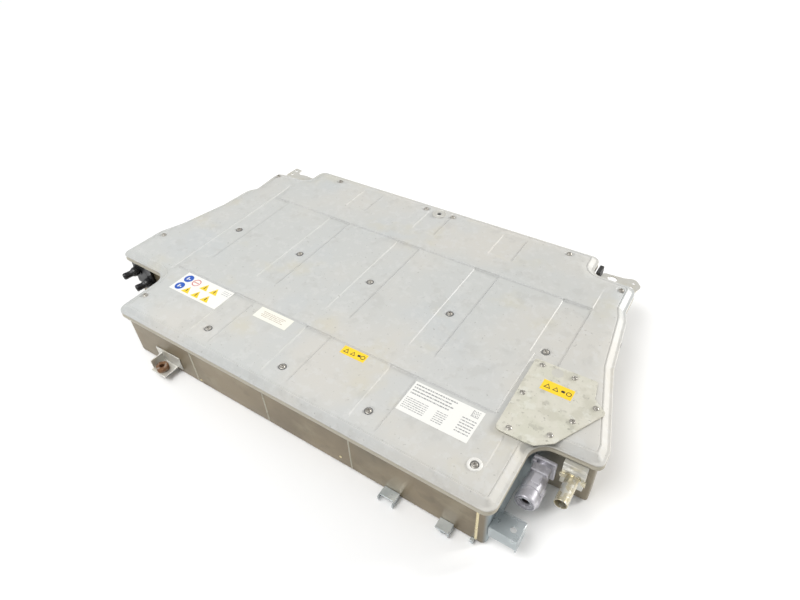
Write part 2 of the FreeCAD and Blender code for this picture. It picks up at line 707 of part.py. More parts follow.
bars = []
for row_name, row_y in (("front", FRONT_ROW_Y), ("back", BACK_ROW_Y)):
    for bay in range(BAYS - 1):
        name = "bar_%s_%d" % (row_name, bay)
        across = (row_y + " - bar_width / 2", row_y + " + bar_width / 2")
        strap = bar(name, (bay_x[bay] + " + 46", bay_x[bay + 1] + " - 46"), across)
        tab_1 = block(name + "_tab_1", (bay_x[bay] + " + 46", bay_x[bay] + " + 50"), across, TAB_Z)
        tab_2 = block(name + "_tab_2", (bay_x[bay + 1] + " - 50", bay_x[bay + 1] + " - 46"), across, TAB_Z)
        bars.append(fuse(name + "_solid", [strap, tab_1, tab_2]))
bars.append(bar("bar_return", (bay_x[0] + " - 66", bay_x[0] + " - 46"), (-60, 60)))
positive_y, negative_y = CONTACTOR_Y["positive"], CONTACTOR_Y["negative"]
post_left, post_right = CONTACTOR_X - POST_SPACING / 2, CONTACTOR_X + POST_SPACING / 2
bars.append(bar("bar_positive_in", (bay_x[-1] + " + 46", post_left + 8), (positive_y - 9, positive_y + 9)))
bars.append(bar("bar_positive_out", (post_right - 7, FUSE_X + 8), (positive_y - 9, positive_y + 9)))
bars.append(bar("bar_negative_in", (bay_x[-1] + " + 46", post_left + 8), (negative_y - 9, negative_y + 9)))
bars.append(bar("bar_sense", (514, 564), (-49, -31)))
for polarity, y in CONTACTOR_Y.items():
    for side in (-1, 1):
        post_x = CONTACTOR_X + side * POST_SPACING / 2
        name = "post_%s_%d" % (polarity, side + 2)
        bars.append(rod(name, 4, "bar_bottom - %d - 25" % CHAMBER_BOTTOM, (post_x, y, CHAMBER_BOTTOM + 25)))
keep(group("bar_set", bars), "busbars")

# ---------------------------------------------------------------- battery controller

controller_case = block("controller_case", (-612, -536), (-60, 190), ("tray_floor + 3", 42))
controller_plugs = [
    block("controller_plug_%d" % index, (-540, -522), (-40 + 60 * index, -5 + 60 * index), (14, 34))
    for index in range(4)
]
keep(fuse("controller_solid", [controller_case] + controller_plugs), "battery_controller")

# ---------------------------------------------------------------- high voltage connector in the right notch

NOTCH_WALL_Y = "right_notch_y + wall_inset"
hv_flange = block("hv_flange", ("hv_axis_x - 27", "hv_axis_x + 27"),
                  (NOTCH_WALL_Y + " - 28", NOTCH_WALL_Y + " + 5"), ("port_axis_z - 28", "port_axis_z + 28"))
hv_neck = rod("hv_neck", 17, 60, ("hv_axis_x", NOTCH_WALL_Y + " - 2", "port_axis_z"), TOWARDS_FRONT)
hv_shell = rod("hv_shell", "hv_radius", 68, ("hv_axis_x", "hv_front_y + 68", "port_axis_z"), TOWARDS_FRONT)
hv_block = block("hv_block", ("hv_axis_x - 19", "hv_axis_x + 19"), ("hv_front_y + 68", "hv_front_y + 88"),
                 ("port_axis_z - 14", "port_axis_z + 21"))
hv_socket = rod("hv_socket", 15, 22, ("hv_axis_x", "hv_front_y + 20", "port_axis_z"), TOWARDS_FRONT)
hv_tools = fuse("hv_tools", [hv_socket, slab("hv_wall_room", "wall_inset", "0", "tray_top")])
keep(cut("hv_body", fuse("hv_solid", [hv_flange, hv_neck, hv_shell, hv_block]), hv_tools), "hv_header")
insert_rod = rod("insert_rod", 11, 12, ("hv_axis_x", "hv_front_y + 20", "port_axis_z"), TOWARDS_FRONT)
insert_slot = block("insert_slot", ("hv_axis_x - 5", "hv_axis_x + 5"), ("hv_front_y + 6", "hv_front_y + 18"),
                    ("port_axis_z - 5", "port_axis_z + 5"))
keep(cut("insert_body", insert_rod, insert_slot), "hv_insert")

# ---------------------------------------------------------------- vent tube and its block

vent_body = block("vent_body", ("tube_axis_x - 25", "tube_axis_x + 23"),
                  (NOTCH_WALL_Y + " - 20", NOTCH_WALL_Y + " - 0.3"), ("port_axis_z - 30", "skirt_bottom - 2"))
vent_grooves = [
    block("vent_groove_%d" % index, ("tube_axis_x - 26", "tube_axis_x + 24"),
          (NOTCH_WALL_Y + " - 21", NOTCH_WALL_Y + " - 18.5"), (z, z + 2))
    for index, z in enumerate((115, 119, 123))
]
bore_start = ("tube_axis_x", NOTCH_WALL_Y + " + 5", "port_axis_z")
vent_way = rod("vent_way", "tube_bore", 40, bore_start, TOWARDS_FRONT)
keep(cut("vent_block_solid", vent_body, fuse("vent_tools", vent_grooves + [vent_way])), "vent_block")
TUBE_START_Y = NOTCH_WALL_Y + " - 20.1"
tube_length = "(%s) - tube_front_y" % TUBE_START_Y
tube_start = ("tube_axis_x", TUBE_START_Y, "port_axis_z")
vent_pipe = rod("vent_pipe", "tube_radius", tube_length, tube_start, TOWARDS_FRONT)
vent_collar = rod("vent_collar", 18, 4, tube_start, TOWARDS_FRONT)
vent_ears = block("vent_ears", ("tube_axis_x - 27", "tube_axis_x + 27"),
                  (TUBE_START_Y + " - 4", TUBE_START_Y), ("port_axis_z - 7", "port_axis_z + 7"))
vent_hole = rod("vent_hole", "tube_bore", 120, bore_start, TOWARDS_FRONT)
vent_blank = fuse("vent_tube_blank", [vent_pipe, vent_collar, vent_ears])
keep(cut("vent_tube_solid", vent_blank, vent_hole), "vent_tube")

# ---------------------------------------------------------------- service cover, its seal and screws

COVER = [(490, -32, 6), (633, -29, 5), (643, -78, 5), (676, -104, 8), (613, -226, 10), (580, -252, 12),
         (560, -254, 8), (494, -254, 12)]
COVER_SCREWS = [(511, -45), (586, -45), (506, -140), (653, -101), (624, -158), (520, -239), (598, -213)]
COVER_TOP = "middle_top + seal_height"
cover_holes = [(x, y, 3.2) for x, y in COVER_SCREWS]
keep(plate("service_cover", COVER, COVER_TOP, "cover_sheet", cover_holes), "service_cover")
SEAL = [(496, -37, 6), (628, -34, 5), (638, -81, 5), (669, -105, 8), (610, -220, 10), (578, -247, 12),
        (560, -248, 8), (504, -248, 12)]
seal_holes = [(x, y, 3.4) for x, y in COVER_SCREWS]
service_gasket = plate("service_gasket", SEAL, "middle_top", "seal_height", seal_holes)
service_window = plate("service_window", SERVICE_HOLE, "middle_top - 1", 4)
keep(cut("service_seal_ring", service_gasket, service_window), "service_seal")

cover_screws = []
for index, (x, y) in enumerate(COVER_SCREWS):
    name = "cover_screw_%d" % index
    head = rod(name + "_head", 6.5, 3, (x, y, COVER_TOP + " + cover_sheet"))
    socket = rod(name + "_socket", 2.6, 3, (x, y, COVER_TOP + " + cover_sheet + 1"))
    cover_screws.append(cut(name, head, socket))
keep(group("cover_screw_set", cover_screws), "service_screws")

# ---------------------------------------------------------------- mounting brackets

BRACKET_TOP = 72
BRACKET_X = (563.5, 624)
BRACKET_Y = (-403, -356)
RIGHT_HOLE = (607, -383)
channel_top = block("channel_top", BRACKET_X, BRACKET_Y, (BRACKET_TOP - 3, BRACKET_TOP))
channel_front = block("channel_front", BRACKET_X, (BRACKET_Y[0], BRACKET_Y[0] + 3), (38, BRACKET_TOP))
channel_side = block("channel_side", (BRACKET_X[1] - 3, BRACKET_X[1]), BRACKET_Y, (30, BRACKET_TOP))
channel_back = block("channel_back", BRACKET_X, (BRACKET_Y[1] - 3, BRACKET_Y[1]), (50, BRACKET_TOP))
channel_hole = rod("channel_hole", "mount_hole_radius", 30, (RIGHT_HOLE[0], RIGHT_HOLE[1], BRACKET_TOP - 15))
channel_solid = fuse("channel_solid", [channel_top, channel_front, channel_side, channel_back])
keep(cut("channel", channel_solid, channel_hole), "bracket_front_right")

# Front-left bracket: an upright plate on the wall with a shelf that holds a bush.
LEFT_SHELF_Z = 20
BUSH_PLACE = (-369, -438)
shelf_plate = block("shelf_plate", (-396, -342), (-456, -409.3), (LEFT_SHELF_Z, LEFT_SHELF_Z + 3))
shelf_back = block("shelf_back", (-414, -324), (-412.3, -409.3), (LEFT_SHELF_Z, 62))
shelf_left = block("shelf_left", (-396, -393), (-450, -410), (LEFT_SHELF_Z, 50))
shelf_hole = rod("shelf_hole", "bush_radius - 3", 30, (BUSH_PLACE[0], BUSH_PLACE[1], LEFT_SHELF_Z - 10))
shelf_solid = fuse("shelf_solid", [shelf_plate, shelf_back, shelf_left])
keep(cut("shelf", shelf_solid, shelf_hole), "bracket_front_left")
bush_low = rod("bush_low", "bush_radius - 3", 20, (BUSH_PLACE[0], BUSH_PLACE[1], LEFT_SHELF_Z - 12))
bush_high = rod("bush_high", "bush_radius", 14, (BUSH_PLACE[0], BUSH_PLACE[1], LEFT_SHELF_Z + 3))
bush_bore = rod("bush_bore", "mount_hole_radius", 60, (BUSH_PLACE[0], BUSH_PLACE[1], LEFT_SHELF_Z - 20))
keep(cut("bush", fuse("bush_solid", [bush_low, bush_high]), bush_bore), "mount_bush")

REAR_SHEET_Z = 132
rear_left_holes = [(-604, 400, 5), (-604, 378, 5), (-522, 366, value("mount_hole_radius"))]
rear_left_corners = [(-606, 329.5, 4), (-619, 366, 5), (-618, 417, 5), (-590, 413, 5), (-584, 386, 12),
                     (-552, 392, 10), (-512, 388, 8), (-505, 350, 5), (-515, 329.5, 4)]
keep(plate("rear_left_arm", rear_left_corners, REAR_SHEET_Z, "bracket_sheet", rear_left_holes),
     "bracket_rear_left")
rear_right_holes = [(594, 363, 4), (594, 382, 4), (540, 372, 12)]
rear_right_corners = [(510, 334, 4), (510, 388, 10), (566, 392, 8), (594, 402, 18), (616, 376, 16),
                      (604, 334, 5)]
keep(plate("rear_right_arm", rear_right_corners, REAR_SHEET_Z, "bracket_sheet", rear_right_holes),
     "bracket_rear_right")
keep(block("buffer_block", (495, 507), (366, 402), (104, 146)), "rear_buffer")

# Small clips welded along the foot of the front wall.
hook_plate = block("hook_plate", (320, 360), (-432, -409.3), (14, 16.5))
hook_lip_1 = block("hook_lip_1", (320, 323), (-440, -426), (4, 16.5))
hook_lip_2 = block("hook_lip_2", (357, 360), (-440, -420), (2, 16.5))
nut_plate = block("nut_plate", (460, 492), (-434, -409.3), (16, 19))
nut_side = block("nut_side", (489, 492), (-434, -409.3), (3, 19))
nut_body = rod("nut_body", 9, 10, (474, -424, 6))
clip_tag = block("clip_tag", (532, 540), (-418, -409.3), (2, 12))
keep(group("clip_set", [
    fuse("hook_clip", [hook_plate, hook_lip_1, hook_lip_2]),
    fuse("nut_clip", [nut_plate, nut_side, nut_body]),
    clip_tag,
]), "wall_clips")

# ---------------------------------------------------------------- labels and signal connector

LABEL_PLACES = [
    ("warning", (-455, -280), (-294, -221), "front_top + panel_rise"),
    ("small", (-179, -72), (-259, -221), "front_top + panel_rise"),
    ("rating", (292, 468), (-315, -228), "front_top + panel_rise"),
]
labels = [block("label_" + name, x, y, (z, z + " + 0.2")) for name, x, y, z in LABEL_PLACES]
keep(group("label_set", labels), "labels")

# The connector sits on the straight wall behind the slanting nose, facing right.
signal_flange = block("signal_flange", (612, 623), (150, 192), (70, 112))
signal_shell = rod("signal_shell", 17, 12, (619, 171, 91), Vector(1, 0, 0))
signal_socket = rod("signal_socket", 14, 20, (622, 171, 91), Vector(1, 0, 0))
signal_tools = fuse("signal_tools", [signal_socket, slab("signal_wall_room", "wall_inset", "0", "tray_top")])
keep(cut("signal", fuse("signal_solid", [signal_flange, signal_shell]), signal_tools), "signal_connector")

# ---------------------------------------------------------------- check and write

doc.recompute()
for item in doc.Objects:
    if "Invalid" in item.State or "Error" in item.State:
        raise RuntimeError("%s failed: %s" % (item.Name, item.State))
os.makedirs("parts", exist_ok=True)
for label, item in nodes.items():
    shape = item.Shape
    if shape.isNull() or not shape.isValid() or not shape.Solids:
        raise RuntimeError("%s has no valid solid" % label)
for label, item in nodes.items():
    item.Shape.exportStep("parts/%s.step" % label)
print("%d sub-parts" % len(nodes))
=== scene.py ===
import math

import bmesh
import bpy
import numpy as np
from mathutils import Matrix, Vector
from mathutils.geometry import delaunay_2d_cdt


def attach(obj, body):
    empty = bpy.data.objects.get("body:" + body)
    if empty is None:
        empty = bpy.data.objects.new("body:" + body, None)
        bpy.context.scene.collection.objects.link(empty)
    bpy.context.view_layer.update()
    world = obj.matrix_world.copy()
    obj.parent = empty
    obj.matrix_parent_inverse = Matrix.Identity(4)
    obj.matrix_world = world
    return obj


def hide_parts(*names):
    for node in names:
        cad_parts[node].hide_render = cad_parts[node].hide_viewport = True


bl_info = {
    "name": "Battery Pack Looks",
    "version": (1, 0, 0),
    "blender": (4, 5, 0),
    "location": "3D View > Sidebar > Battery Pack",
    "description": "Builds the visible surfaces and finishes of a traction battery pack",
    "category": "Object",
}

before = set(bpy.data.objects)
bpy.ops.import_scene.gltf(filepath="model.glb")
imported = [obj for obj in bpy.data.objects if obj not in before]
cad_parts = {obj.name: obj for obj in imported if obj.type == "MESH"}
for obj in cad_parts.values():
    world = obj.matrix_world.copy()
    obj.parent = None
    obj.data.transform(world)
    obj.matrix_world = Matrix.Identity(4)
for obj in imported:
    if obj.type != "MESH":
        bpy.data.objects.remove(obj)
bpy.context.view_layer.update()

MM = 0.001
BODY = "pack"

# ------------------------------------------------------------------ sizes in millimetres

# Corners of the lid, counter-clockwise from the front left: x, y and corner radius.
OUTLINE = np.array([
    (-517, -421, 25), (575, -421, 25), (575, -226, 45), (713, -221, 18), (712, -175, 10),
    (650, 35, 60), (626, 205, 12), (614, 240, 12), (612, 340, 28), (490, 346, 25),
    (490, 421, 24), (-496, 421, 22), (-500, 340, 26), (-628, 336, 25), (-620, 220, 12),
    (-640, 190, 12), (-648, 91, 60), (-680, -53, 100), (-707, -120, 40), (-713, -255, 20),
    (-517, -258, 35),
], float)
SKIRT_BOTTOM = 137.0
FLANGE_TOP = 153.0
RIM_TOP = 164.2
FOOT_INSET = 5.5
RIM_INSET = 24.5
BAY_PITCH = 247
COLUMN_X = [-487 + BAY_PITCH * index for index in range(5)]

# The relief of the lid's top: the recessed bands, the terraces, and where each begins and ends.
BANDS = [(-515, -448), (-280, -208), (-33, 42), (217, 289), (468, 542)]
BAND_FRONT_Y = -397.0
MIDDLE_RAMP_Y = -141.0
REAR_RAMP_Y = 268.0
REAR_BAND_END_Y = 368.0
STRIP_FRONT_Y = -15.0
FIRST_TERRACE_Y = -216.0
FIRST_TERRACE_END_X = 480.0
SECOND_TERRACE_Y = 194.0
LEFT_FIELD_X = -500.0
RIGHT_FIELD_X = 542.0
SHELF_X = (519.0, 555.0)
SHELF_TURN_Y = -343.0
SHELF_BACK_Y = -262.0
LEFT_LINE = (-515.0, -508.0, -228.0, 270.0)
# Towards the ends the terraces rise softly: the middle of each rise and its width.
LEFT_RISES = [(-216.0, 60.0), (245.0, 110.0)]
RIGHT_RISES = [(-60.0, 90.0), (255.0, 100.0)]
# Widths of the slopes: a band's sides and front, a terrace's edge, and a field's or a strip's side.
BAND_SLOPE = 3.0
BAND_FRONT_SLOPE = 2.6
STEP_SLOPE = 2.2
SIDE_SLOPE = 2.4
# Radius, slope and depth of the dimple round each lid screw.
DIMPLE = (11.8, 3.2, 1.8)

FRONT_SCREW_Y = -349.0
MIDDLE_SCREW_Y = 2.0
SCREW_X = [x + shift for x, shift in zip(COLUMN_X, (2, -4, -5, -8, -1))]
OUTER_SCREWS = [(-383, 376), (-48, 376), (45, 375), (412, 377), (580, 298), (-592, 300), (-663, -136)]
# Centre of the boss at the back, and its steps as (radius, slope, rise).
BOSS = (1, 370)
BOSS_STEPS = [(24.0, 2.4, 1.3), (18.0, 2.0, -0.6), (6.2, 1.0, -5.0)]
WALL_INSET = 12.0
FRONT_WALL_Y = -409.0
SHEET = 1.5
FILM = 0.25
LEAST_RADIUS = 5.0
COVER_SCREWS = [(511, -45), (586, -45), (506, -140), (653, -101), (624, -158), (520, -239), (598, -213)]
COVER_TOP = 169.2
PORT_WALL_Y = -246.0
STUB_LENGTH = 12.0
STUBS = {"inlet": (-662.0, 113.0), "outlet": (-618.0, 88.0)}

# How far a finish's roughness goes to either side of its mean.
ROUGHNESS_SPREAD = 0.08


class PackSettings(bpy.types.PropertyGroup):
    """Sizes and colours of the pack that a user would change."""

    terrace_rise: bpy.props.FloatProperty(
        name="Terrace rise", description="Height of each terrace of the lid", unit="LENGTH",
        default=0.0023, min=0.0, max=0.0024, precision=5)
    panel_rise: bpy.props.FloatProperty(
        name="Panel rise", description="Height of the lid's raised panels over its bands", unit="LENGTH",
        default=0.00215, min=0.0, max=0.0022, precision=5)
    lid_colour: bpy.props.FloatVectorProperty(
        name="Lid paint", description="Paint of the stamped lid", subtype="COLOR", size=3,
        default=(0.485, 0.492, 0.475), min=0.0, max=1.0)
    # The tray's zinc colour, made darker and browner as painted shade and floor reflection on the front
    # wall.
    warm_zinc_and_painted_shade: bpy.props.FloatVectorProperty(
        name="Warm zinc and painted shade", description="Passivated zinc of the long walls", subtype="COLOR", size=3,
        default=(0.242, 0.192, 0.12), min=0.0, max=1.0)
    # A bluish painted reflection laid on the tray's walls past the right notch; the brackets' bluish zinc
    # uses the same name.
    cool_zinc_and_painted_reflection: bpy.props.FloatVectorProperty(
        name="Cool zinc and painted reflection", description="Bluish zinc of the wall beside the right notch", subtype="COLOR",
        size=3,
        default=(0.33, 0.38, 0.395), min=0.0, max=1.0)
    cover_colour: bpy.props.FloatVectorProperty(
        name="Service cover", description="Dull zinc of the service cover", subtype="COLOR", size=3,
        default=(0.626, 0.607, 0.524), min=0.0, max=1.0)
    lens: bpy.props.FloatProperty(
        name="Lens", description="Focal length of the camera", unit="CAMERA", default=26.43, min=10.0,
        max=100.0)


def settings():
    """The scene's pack settings."""
    return bpy.context.scene.battery_pack


# ------------------------------------------------------------------ surface helpers

def smooth_step(value, width):
    """0 below minus half the width, 1 above plus half of it, and 3t^2 - 2t^3 between."""
    t = np.clip(value / width + 0.5, 0.0, 1.0)
    return t * t * (3.0 - 2.0 * t)


def inside_rectangle(x, y, low_x, high_x, low_y, high_y, radius, width):
    """1 inside a rounded rectangle and 0 outside; the edge is a smooth step of the given width.
    The distance is |q outside| + min(max(q), 0) - radius, with q the distance past the inner rectangle."""
    qx = np.abs(x - (low_x + high_x) / 2) - (high_x - low_x) / 2 + radius
    qy = np.abs(y - (low_y + high_y) / 2) - (high_y - low_y) / 2 + radius
    outside = np.hypot(np.maximum(qx, 0), np.maximum(qy, 0))
    distance = outside + np.minimum(np.maximum(qx, qy), 0) - radius
    return smooth_step(-distance, width)


def outline_loop(corners, inset, arc_steps=10, run_length=30.0):
    """A closed loop of points along a polygon with rounded corners, moved inwards by an inset.
    Each corner moves along its bisector; an arc is centre + radius (cos a, sin a) over the turn,
    and its radius shrinks with the inset at an outer corner and grows at an inner one."""
    points = corners[:, :2]
    forward = np.roll(points, -1, 0) - points
    lengths = np.linalg.norm(forward, axis=1)
    forward = forward / lengths[:, None]
    backward = np.roll(forward, 1, 0)
    inner_next = np.stack([-forward[:, 1], forward[:, 0]], 1)
    inner_last = np.stack([-backward[:, 1], backward[:, 0]], 1)
    share = inset / (1 + np.sum(inner_next * inner_last, 1))
    moved = points + (inner_next + inner_last) * share[:, None]
    turn = np.arctan2(backward[:, 0] * forward[:, 1] - backward[:, 1] * forward[:, 0],
                      np.sum(backward * forward, 1))
    radius = np.where(turn > 0, np.maximum(corners[:, 2] - inset, LEAST_RADIUS), corners[:, 2] + inset)
    reach = radius * np.tan(np.abs(turn) / 2)
    start = moved - backward * reach[:, None]
    side = np.sign(turn)[:, None]
    centre = start + inner_last * side * radius[:, None]
    steps = np.linspace(0, 1, arc_steps + 1)
    first_angle = np.arctan2((start - centre)[:, 1], (start - centre)[:, 0])
    angles = first_angle[:, None] + turn[:, None] * steps[None, :]
    arcs = centre[:, None, :] + radius[:, None, None] * np.stack([np.cos(angles), np.sin(angles)], 2)
    pieces = []
    for index in range(len(corners)):
        run_start = arcs[index, -1]
        run_end = arcs[(index + 1) % len(corners), 0]
        parts = max(int(lengths[index] / run_length), 1)
        along = np.linspace(0, 1, parts + 1)[1:-1, None]
        pieces.append(arcs[index])
        pieces.append(run_start + (run_end - run_start) * along)
    return np.concatenate(pieces)


def grid_faces(rows, columns, closed=True):
    """Quads of a grid of rows by columns; closed joins the last column to the first."""
    across = columns if closed else columns - 1
    row, column = np.meshgrid(np.arange(rows - 1), np.arange(across), indexing="ij")
    after = (column + 1) % columns
    this_row, next_row = row * columns, (row + 1) * columns
    quads = [this_row + column, this_row + after, next_row + after, next_row + column]
    return np.stack([quad.ravel() for quad in quads], 1)


def basis(axis):
    """Two unit vectors square to an axis."""
    axis = np.asarray(axis, float)
    axis = axis / np.linalg.norm(axis)
    helper = np.array([0.0, 0.0, 1.0]) if abs(axis[2]) < 0.9 else np.array([1.0, 0.0, 0.0])
    first = np.cross(helper, axis)
    first = first / np.linalg.norm(first)
    return first, np.cross(axis, first)


def ring_surface(centres, axes, radii, steps=48):
    """Rings of a round surface: centre + radius (first cos a + second sin a), one ring a row."""
    angles = np.linspace(0, 2 * math.pi, steps, endpoint=False)
    rows = []
    for centre, axis, radius in zip(centres, axes, radii):
        first, second = basis(axis)
        circle = np.cos(angles)[:, None] * first + np.sin(angles)[:, None] * second
        rows.append(np.asarray(centre) + radius * circle)
    return np.concatenate(rows), grid_faces(len(rows), steps)[:, ::-1]


def lathe(base, axis, profile, steps=48):
    """A profile of (distance along the axis, radius) turned about an axis from a base point."""
    axis = np.asarray(axis, float)
    centres = [np.asarray(base, float) + axis * distance for distance, radius in profile]
    radii = [radius for distance, radius in profile]
    return ring_surface(centres, [axis] * len(profile), radii, steps)


def box_mesh(low, high):
    """The eight corners and six faces of a box."""
    ends = list(zip(low, high))
    corners = np.array([[x, y, z] for z in ends[2] for y in ends[1] for x in ends[0]], float)
    faces = np.array([[0, 2, 3, 1], [4, 5, 7, 6], [0, 1, 5, 4], [2, 6, 7, 3], [0, 4, 6, 2], [1, 3, 7, 5]])
    return corners, faces


def merged(parts):
    """Several meshes as one: vertices one after the other, with face numbers shifted."""
    points, faces, start = [], [], 0
    for part_points, part_faces in parts:
        points.append(part_points)
        faces.append(part_faces + start)
        start += len(part_points)
    return np.concatenate(points), [face for block in faces for face in block.tolist()]


def repeated(part, places):
    """Copies of a mesh at several places."""
    points, faces = part
    return merged([(points + np.asarray(place, float), faces) for place in places])


def swept(profile):
    """A profile of (inset, height) carried round the outline: one closed loop of points for each step."""
    loops = []
    for inset, height in profile:
        loop = outline_loop(OUTLINE, inset)
        loops.append(np.column_stack([loop, np.full(len(loop), height)]))
    return loops


def filled(loop, inside):
    """Triangles that join a closed loop and the points inside it."""
    flat = [Vector(point) for point in np.concatenate([loop, inside]).tolist()]
    found = delaunay_2d_cdt(flat, [], [list(range(len(loop)))], 1, 1e-6)
    return np.array([tuple(point) for point in found[0]]), np.array([tuple(face) for face in found[2]])


def new_object(name, data):
    """A new object in the scene."""
    item = bpy.data.objects.new(name, data)
    bpy.context.scene.collection.objects.link(item)
    return item


def shade(mesh, angle):
    """Smooth shading, with a sharp edge where faces meet at more than an angle in degrees."""
    mesh.shade_smooth()
    mesh.set_sharp_from_angle(angle=math.radians(angle))


def piece(name, mesh_data, material, body=BODY, stands_for=(), smooth=True, angle=35.0):
    """Make a mesh object from points in millimetres and let it ride on a body."""
    points, faces = mesh_data
    mesh = bpy.data.meshes.new(name)
    mesh.from_pydata((np.asarray(points) * MM).tolist(), [], [list(map(int, face)) for face in faces])
    mesh.validate()
    item = new_object(name, mesh)
    mesh.materials.append(MATERIALS[material])
    if smooth:
        shade(mesh, angle)
    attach(item, body)
    if stands_for:
        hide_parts(*stands_for)
    return item


def add_bevel(item, width, segments=2):
    """Round the edges of a piece."""
    bevel = item.modifiers.new("round_edges", "BEVEL")
    bevel.width = width * MM
    bevel.segments = segments
    bevel.limit_method = "ANGLE"
    bevel.angle_limit = math.radians(40)


# ------------------------------------------------------------------ shader groups and materials

def new_group(name, inputs, outputs):
    """An empty shader group with its sockets; inputs and outputs are (name, socket type, default)."""
    tree = bpy.data.node_groups.new(name, "ShaderNodeTree")
    for label, kind, default in inputs:
        socket = tree.interface.new_socket(name=label, in_out="INPUT", socket_type=kind)
        if default is not None:
            socket.default_value = default
    for label, kind in outputs:
        tree.interface.new_socket(name=label, in_out="OUTPUT", socket_type=kind)
    return tree, tree.nodes.new("NodeGroupInput"), tree.nodes.new("NodeGroupOutput")


GROUPS = {}
MATERIALS = {}


def noise_node(tree, source, detail, roughness):
    """A noise texture on a group's Vector and Scale inputs."""
    node = tree.nodes.new("ShaderNodeTexNoise")
    node.inputs["Detail"].default_value = detail
    node.inputs["Roughness"].default_value = roughness
    tree.links.new(source.outputs["Vector"], node.inputs["Vector"])
    tree.links.new(source.outputs["Scale"], node.inputs["Scale"])
    return node


def patches_group():
    """Soft patches: noise pushed to 0 and 1 between Low and High."""
    tree, source, result = new_group(
        "patches",
        [("Vector", "NodeSocketVector", None), ("Scale", "NodeSocketFloat", 8.0),
         ("Low", "NodeSocketFloat", 0.4), ("High", "NodeSocketFloat", 0.6)],
        [("Mask", "NodeSocketFloat")])
    noise = noise_node(tree, source, 4.0, 0.55)
    spread = tree.nodes.new("ShaderNodeMapRange")
    spread.interpolation_type = "SMOOTHSTEP"
    tree.links.new(noise.outputs["Fac"], spread.inputs["Value"])
    tree.links.new(source.outputs["Low"], spread.inputs["From Min"])
    tree.links.new(source.outputs["High"], spread.inputs["From Max"])
    tree.links.new(spread.outputs["Result"], result.inputs["Mask"])
    return tree


def grain_group():
    """Fine grain of a coated sheet: a colour between Dark and Light and a height for a bump."""
    tree, source, result = new_group(
        "grain",
        [("Vector", "NodeSocketVector", None), ("Scale", "NodeSocketFloat", 300.0),
         ("Dark", "NodeSocketColor", (0.4, 0.4, 0.4, 1.0)),
         ("Light", "NodeSocketColor", (0.5, 0.5, 0.5, 1.0))],
        [("Color", "NodeSocketColor"), ("Height", "NodeSocketFloat")])
    noise = noise_node(tree, source, 3.0, 0.6)
    mix = tree.nodes.new("ShaderNodeMix")
    mix.data_type = "RGBA"
    tree.links.new(noise.outputs["Fac"], mix.inputs["Factor"])
    tree.links.new(source.outputs["Dark"], mix.inputs["A"])
    tree.links.new(source.outputs["Light"], mix.inputs["B"])
    tree.links.new(mix.outputs["Result"], result.inputs["Color"])
    tree.links.new(noise.outputs["Fac"], result.inputs["Height"])
    return tree


def colour4(colour, factor=1.0):
    """An RGB colour, scaled, with full alpha."""
    return tuple(min(channel * factor, 1.0) for channel in colour[:3]) + (1.0,)


def lay_over(material, mask, colour):
    """Lay a colour over a finish where a mask is 1."""
    tree = material.node_tree
    base = tree.nodes["Principled BSDF"].inputs["Base Color"]
    blend = tree.nodes.new("ShaderNodeMix")
    blend.data_type = "RGBA"
    tree.links.new(mask, blend.inputs["Factor"])
    tree.links.new(base.links[0].from_socket, blend.inputs["A"])
    blend.inputs["B"].default_value = colour4(colour)
    tree.links.new(blend.outputs["Result"], base)


def object_coordinates(tree):
    """The Object coordinates of the surface."""
    return tree.nodes.new("ShaderNodeTexCoord").outputs["Object"]


def patches_node(tree, vector, scale, low, high):
    """The patches group with its own values."""
    spots = tree.nodes.new("ShaderNodeGroup")
    spots.node_tree = GROUPS["patches"]
    spots.inputs["Scale"].default_value = scale
    spots.inputs["Low"].default_value = low
    spots.inputs["High"].default_value = high
    tree.links.new(vector, spots.inputs["Vector"])
    return spots


def coated(name, colour, metallic, roughness, mottle=0.06, patch=None, patch_scale=6.0,
           patch_range=(0.5, 0.62), grain_scale=260.0, bump=0.06):
    """A coated surface: grain in its colour, soft patches of a second colour, and a fine bump."""
    material = bpy.data.materials.new(name)
    material.use_nodes = True
    tree = material.node_tree
    shader = tree.nodes["Principled BSDF"]
    where = object_coordinates(tree)
    grain = tree.nodes.new("ShaderNodeGroup")
    grain.node_tree = GROUPS["grain"]
    grain.inputs["Scale"].default_value = grain_scale
    grain.inputs["Dark"].default_value = colour4(colour, 1.0 - mottle)
    grain.inputs["Light"].default_value = colour4(colour, 1.0 + mottle)
    tree.links.new(where, grain.inputs["Vector"])
    tree.links.new(grain.outputs["Color"], shader.inputs["Base Color"])
    spots = patches_node(tree, where, patch_scale, *patch_range)
    if patch is not None:
        lay_over(material, spots.outputs["Mask"], patch)
    shader.inputs["Metallic"].default_value = metallic
    dull = tree.nodes.new("ShaderNodeMapRange")
    dull.inputs["To Min"].default_value = roughness - ROUGHNESS_SPREAD
    dull.inputs["To Max"].default_value = roughness + ROUGHNESS_SPREAD
    tree.links.new(spots.outputs["Mask"], dull.inputs["Value"])
    tree.links.new(dull.outputs["Result"], shader.inputs["Roughness"])
    relief = tree.nodes.new("ShaderNodeBump")
    relief.inputs["Strength"].default_value = bump
    relief.inputs["Distance"].default_value = 0.0005
    tree.links.new(grain.outputs["Height"], relief.inputs["Height"])
    tree.links.new(relief.outputs["Normal"], shader.inputs["Normal"])
    MATERIALS[name] = material
    return material


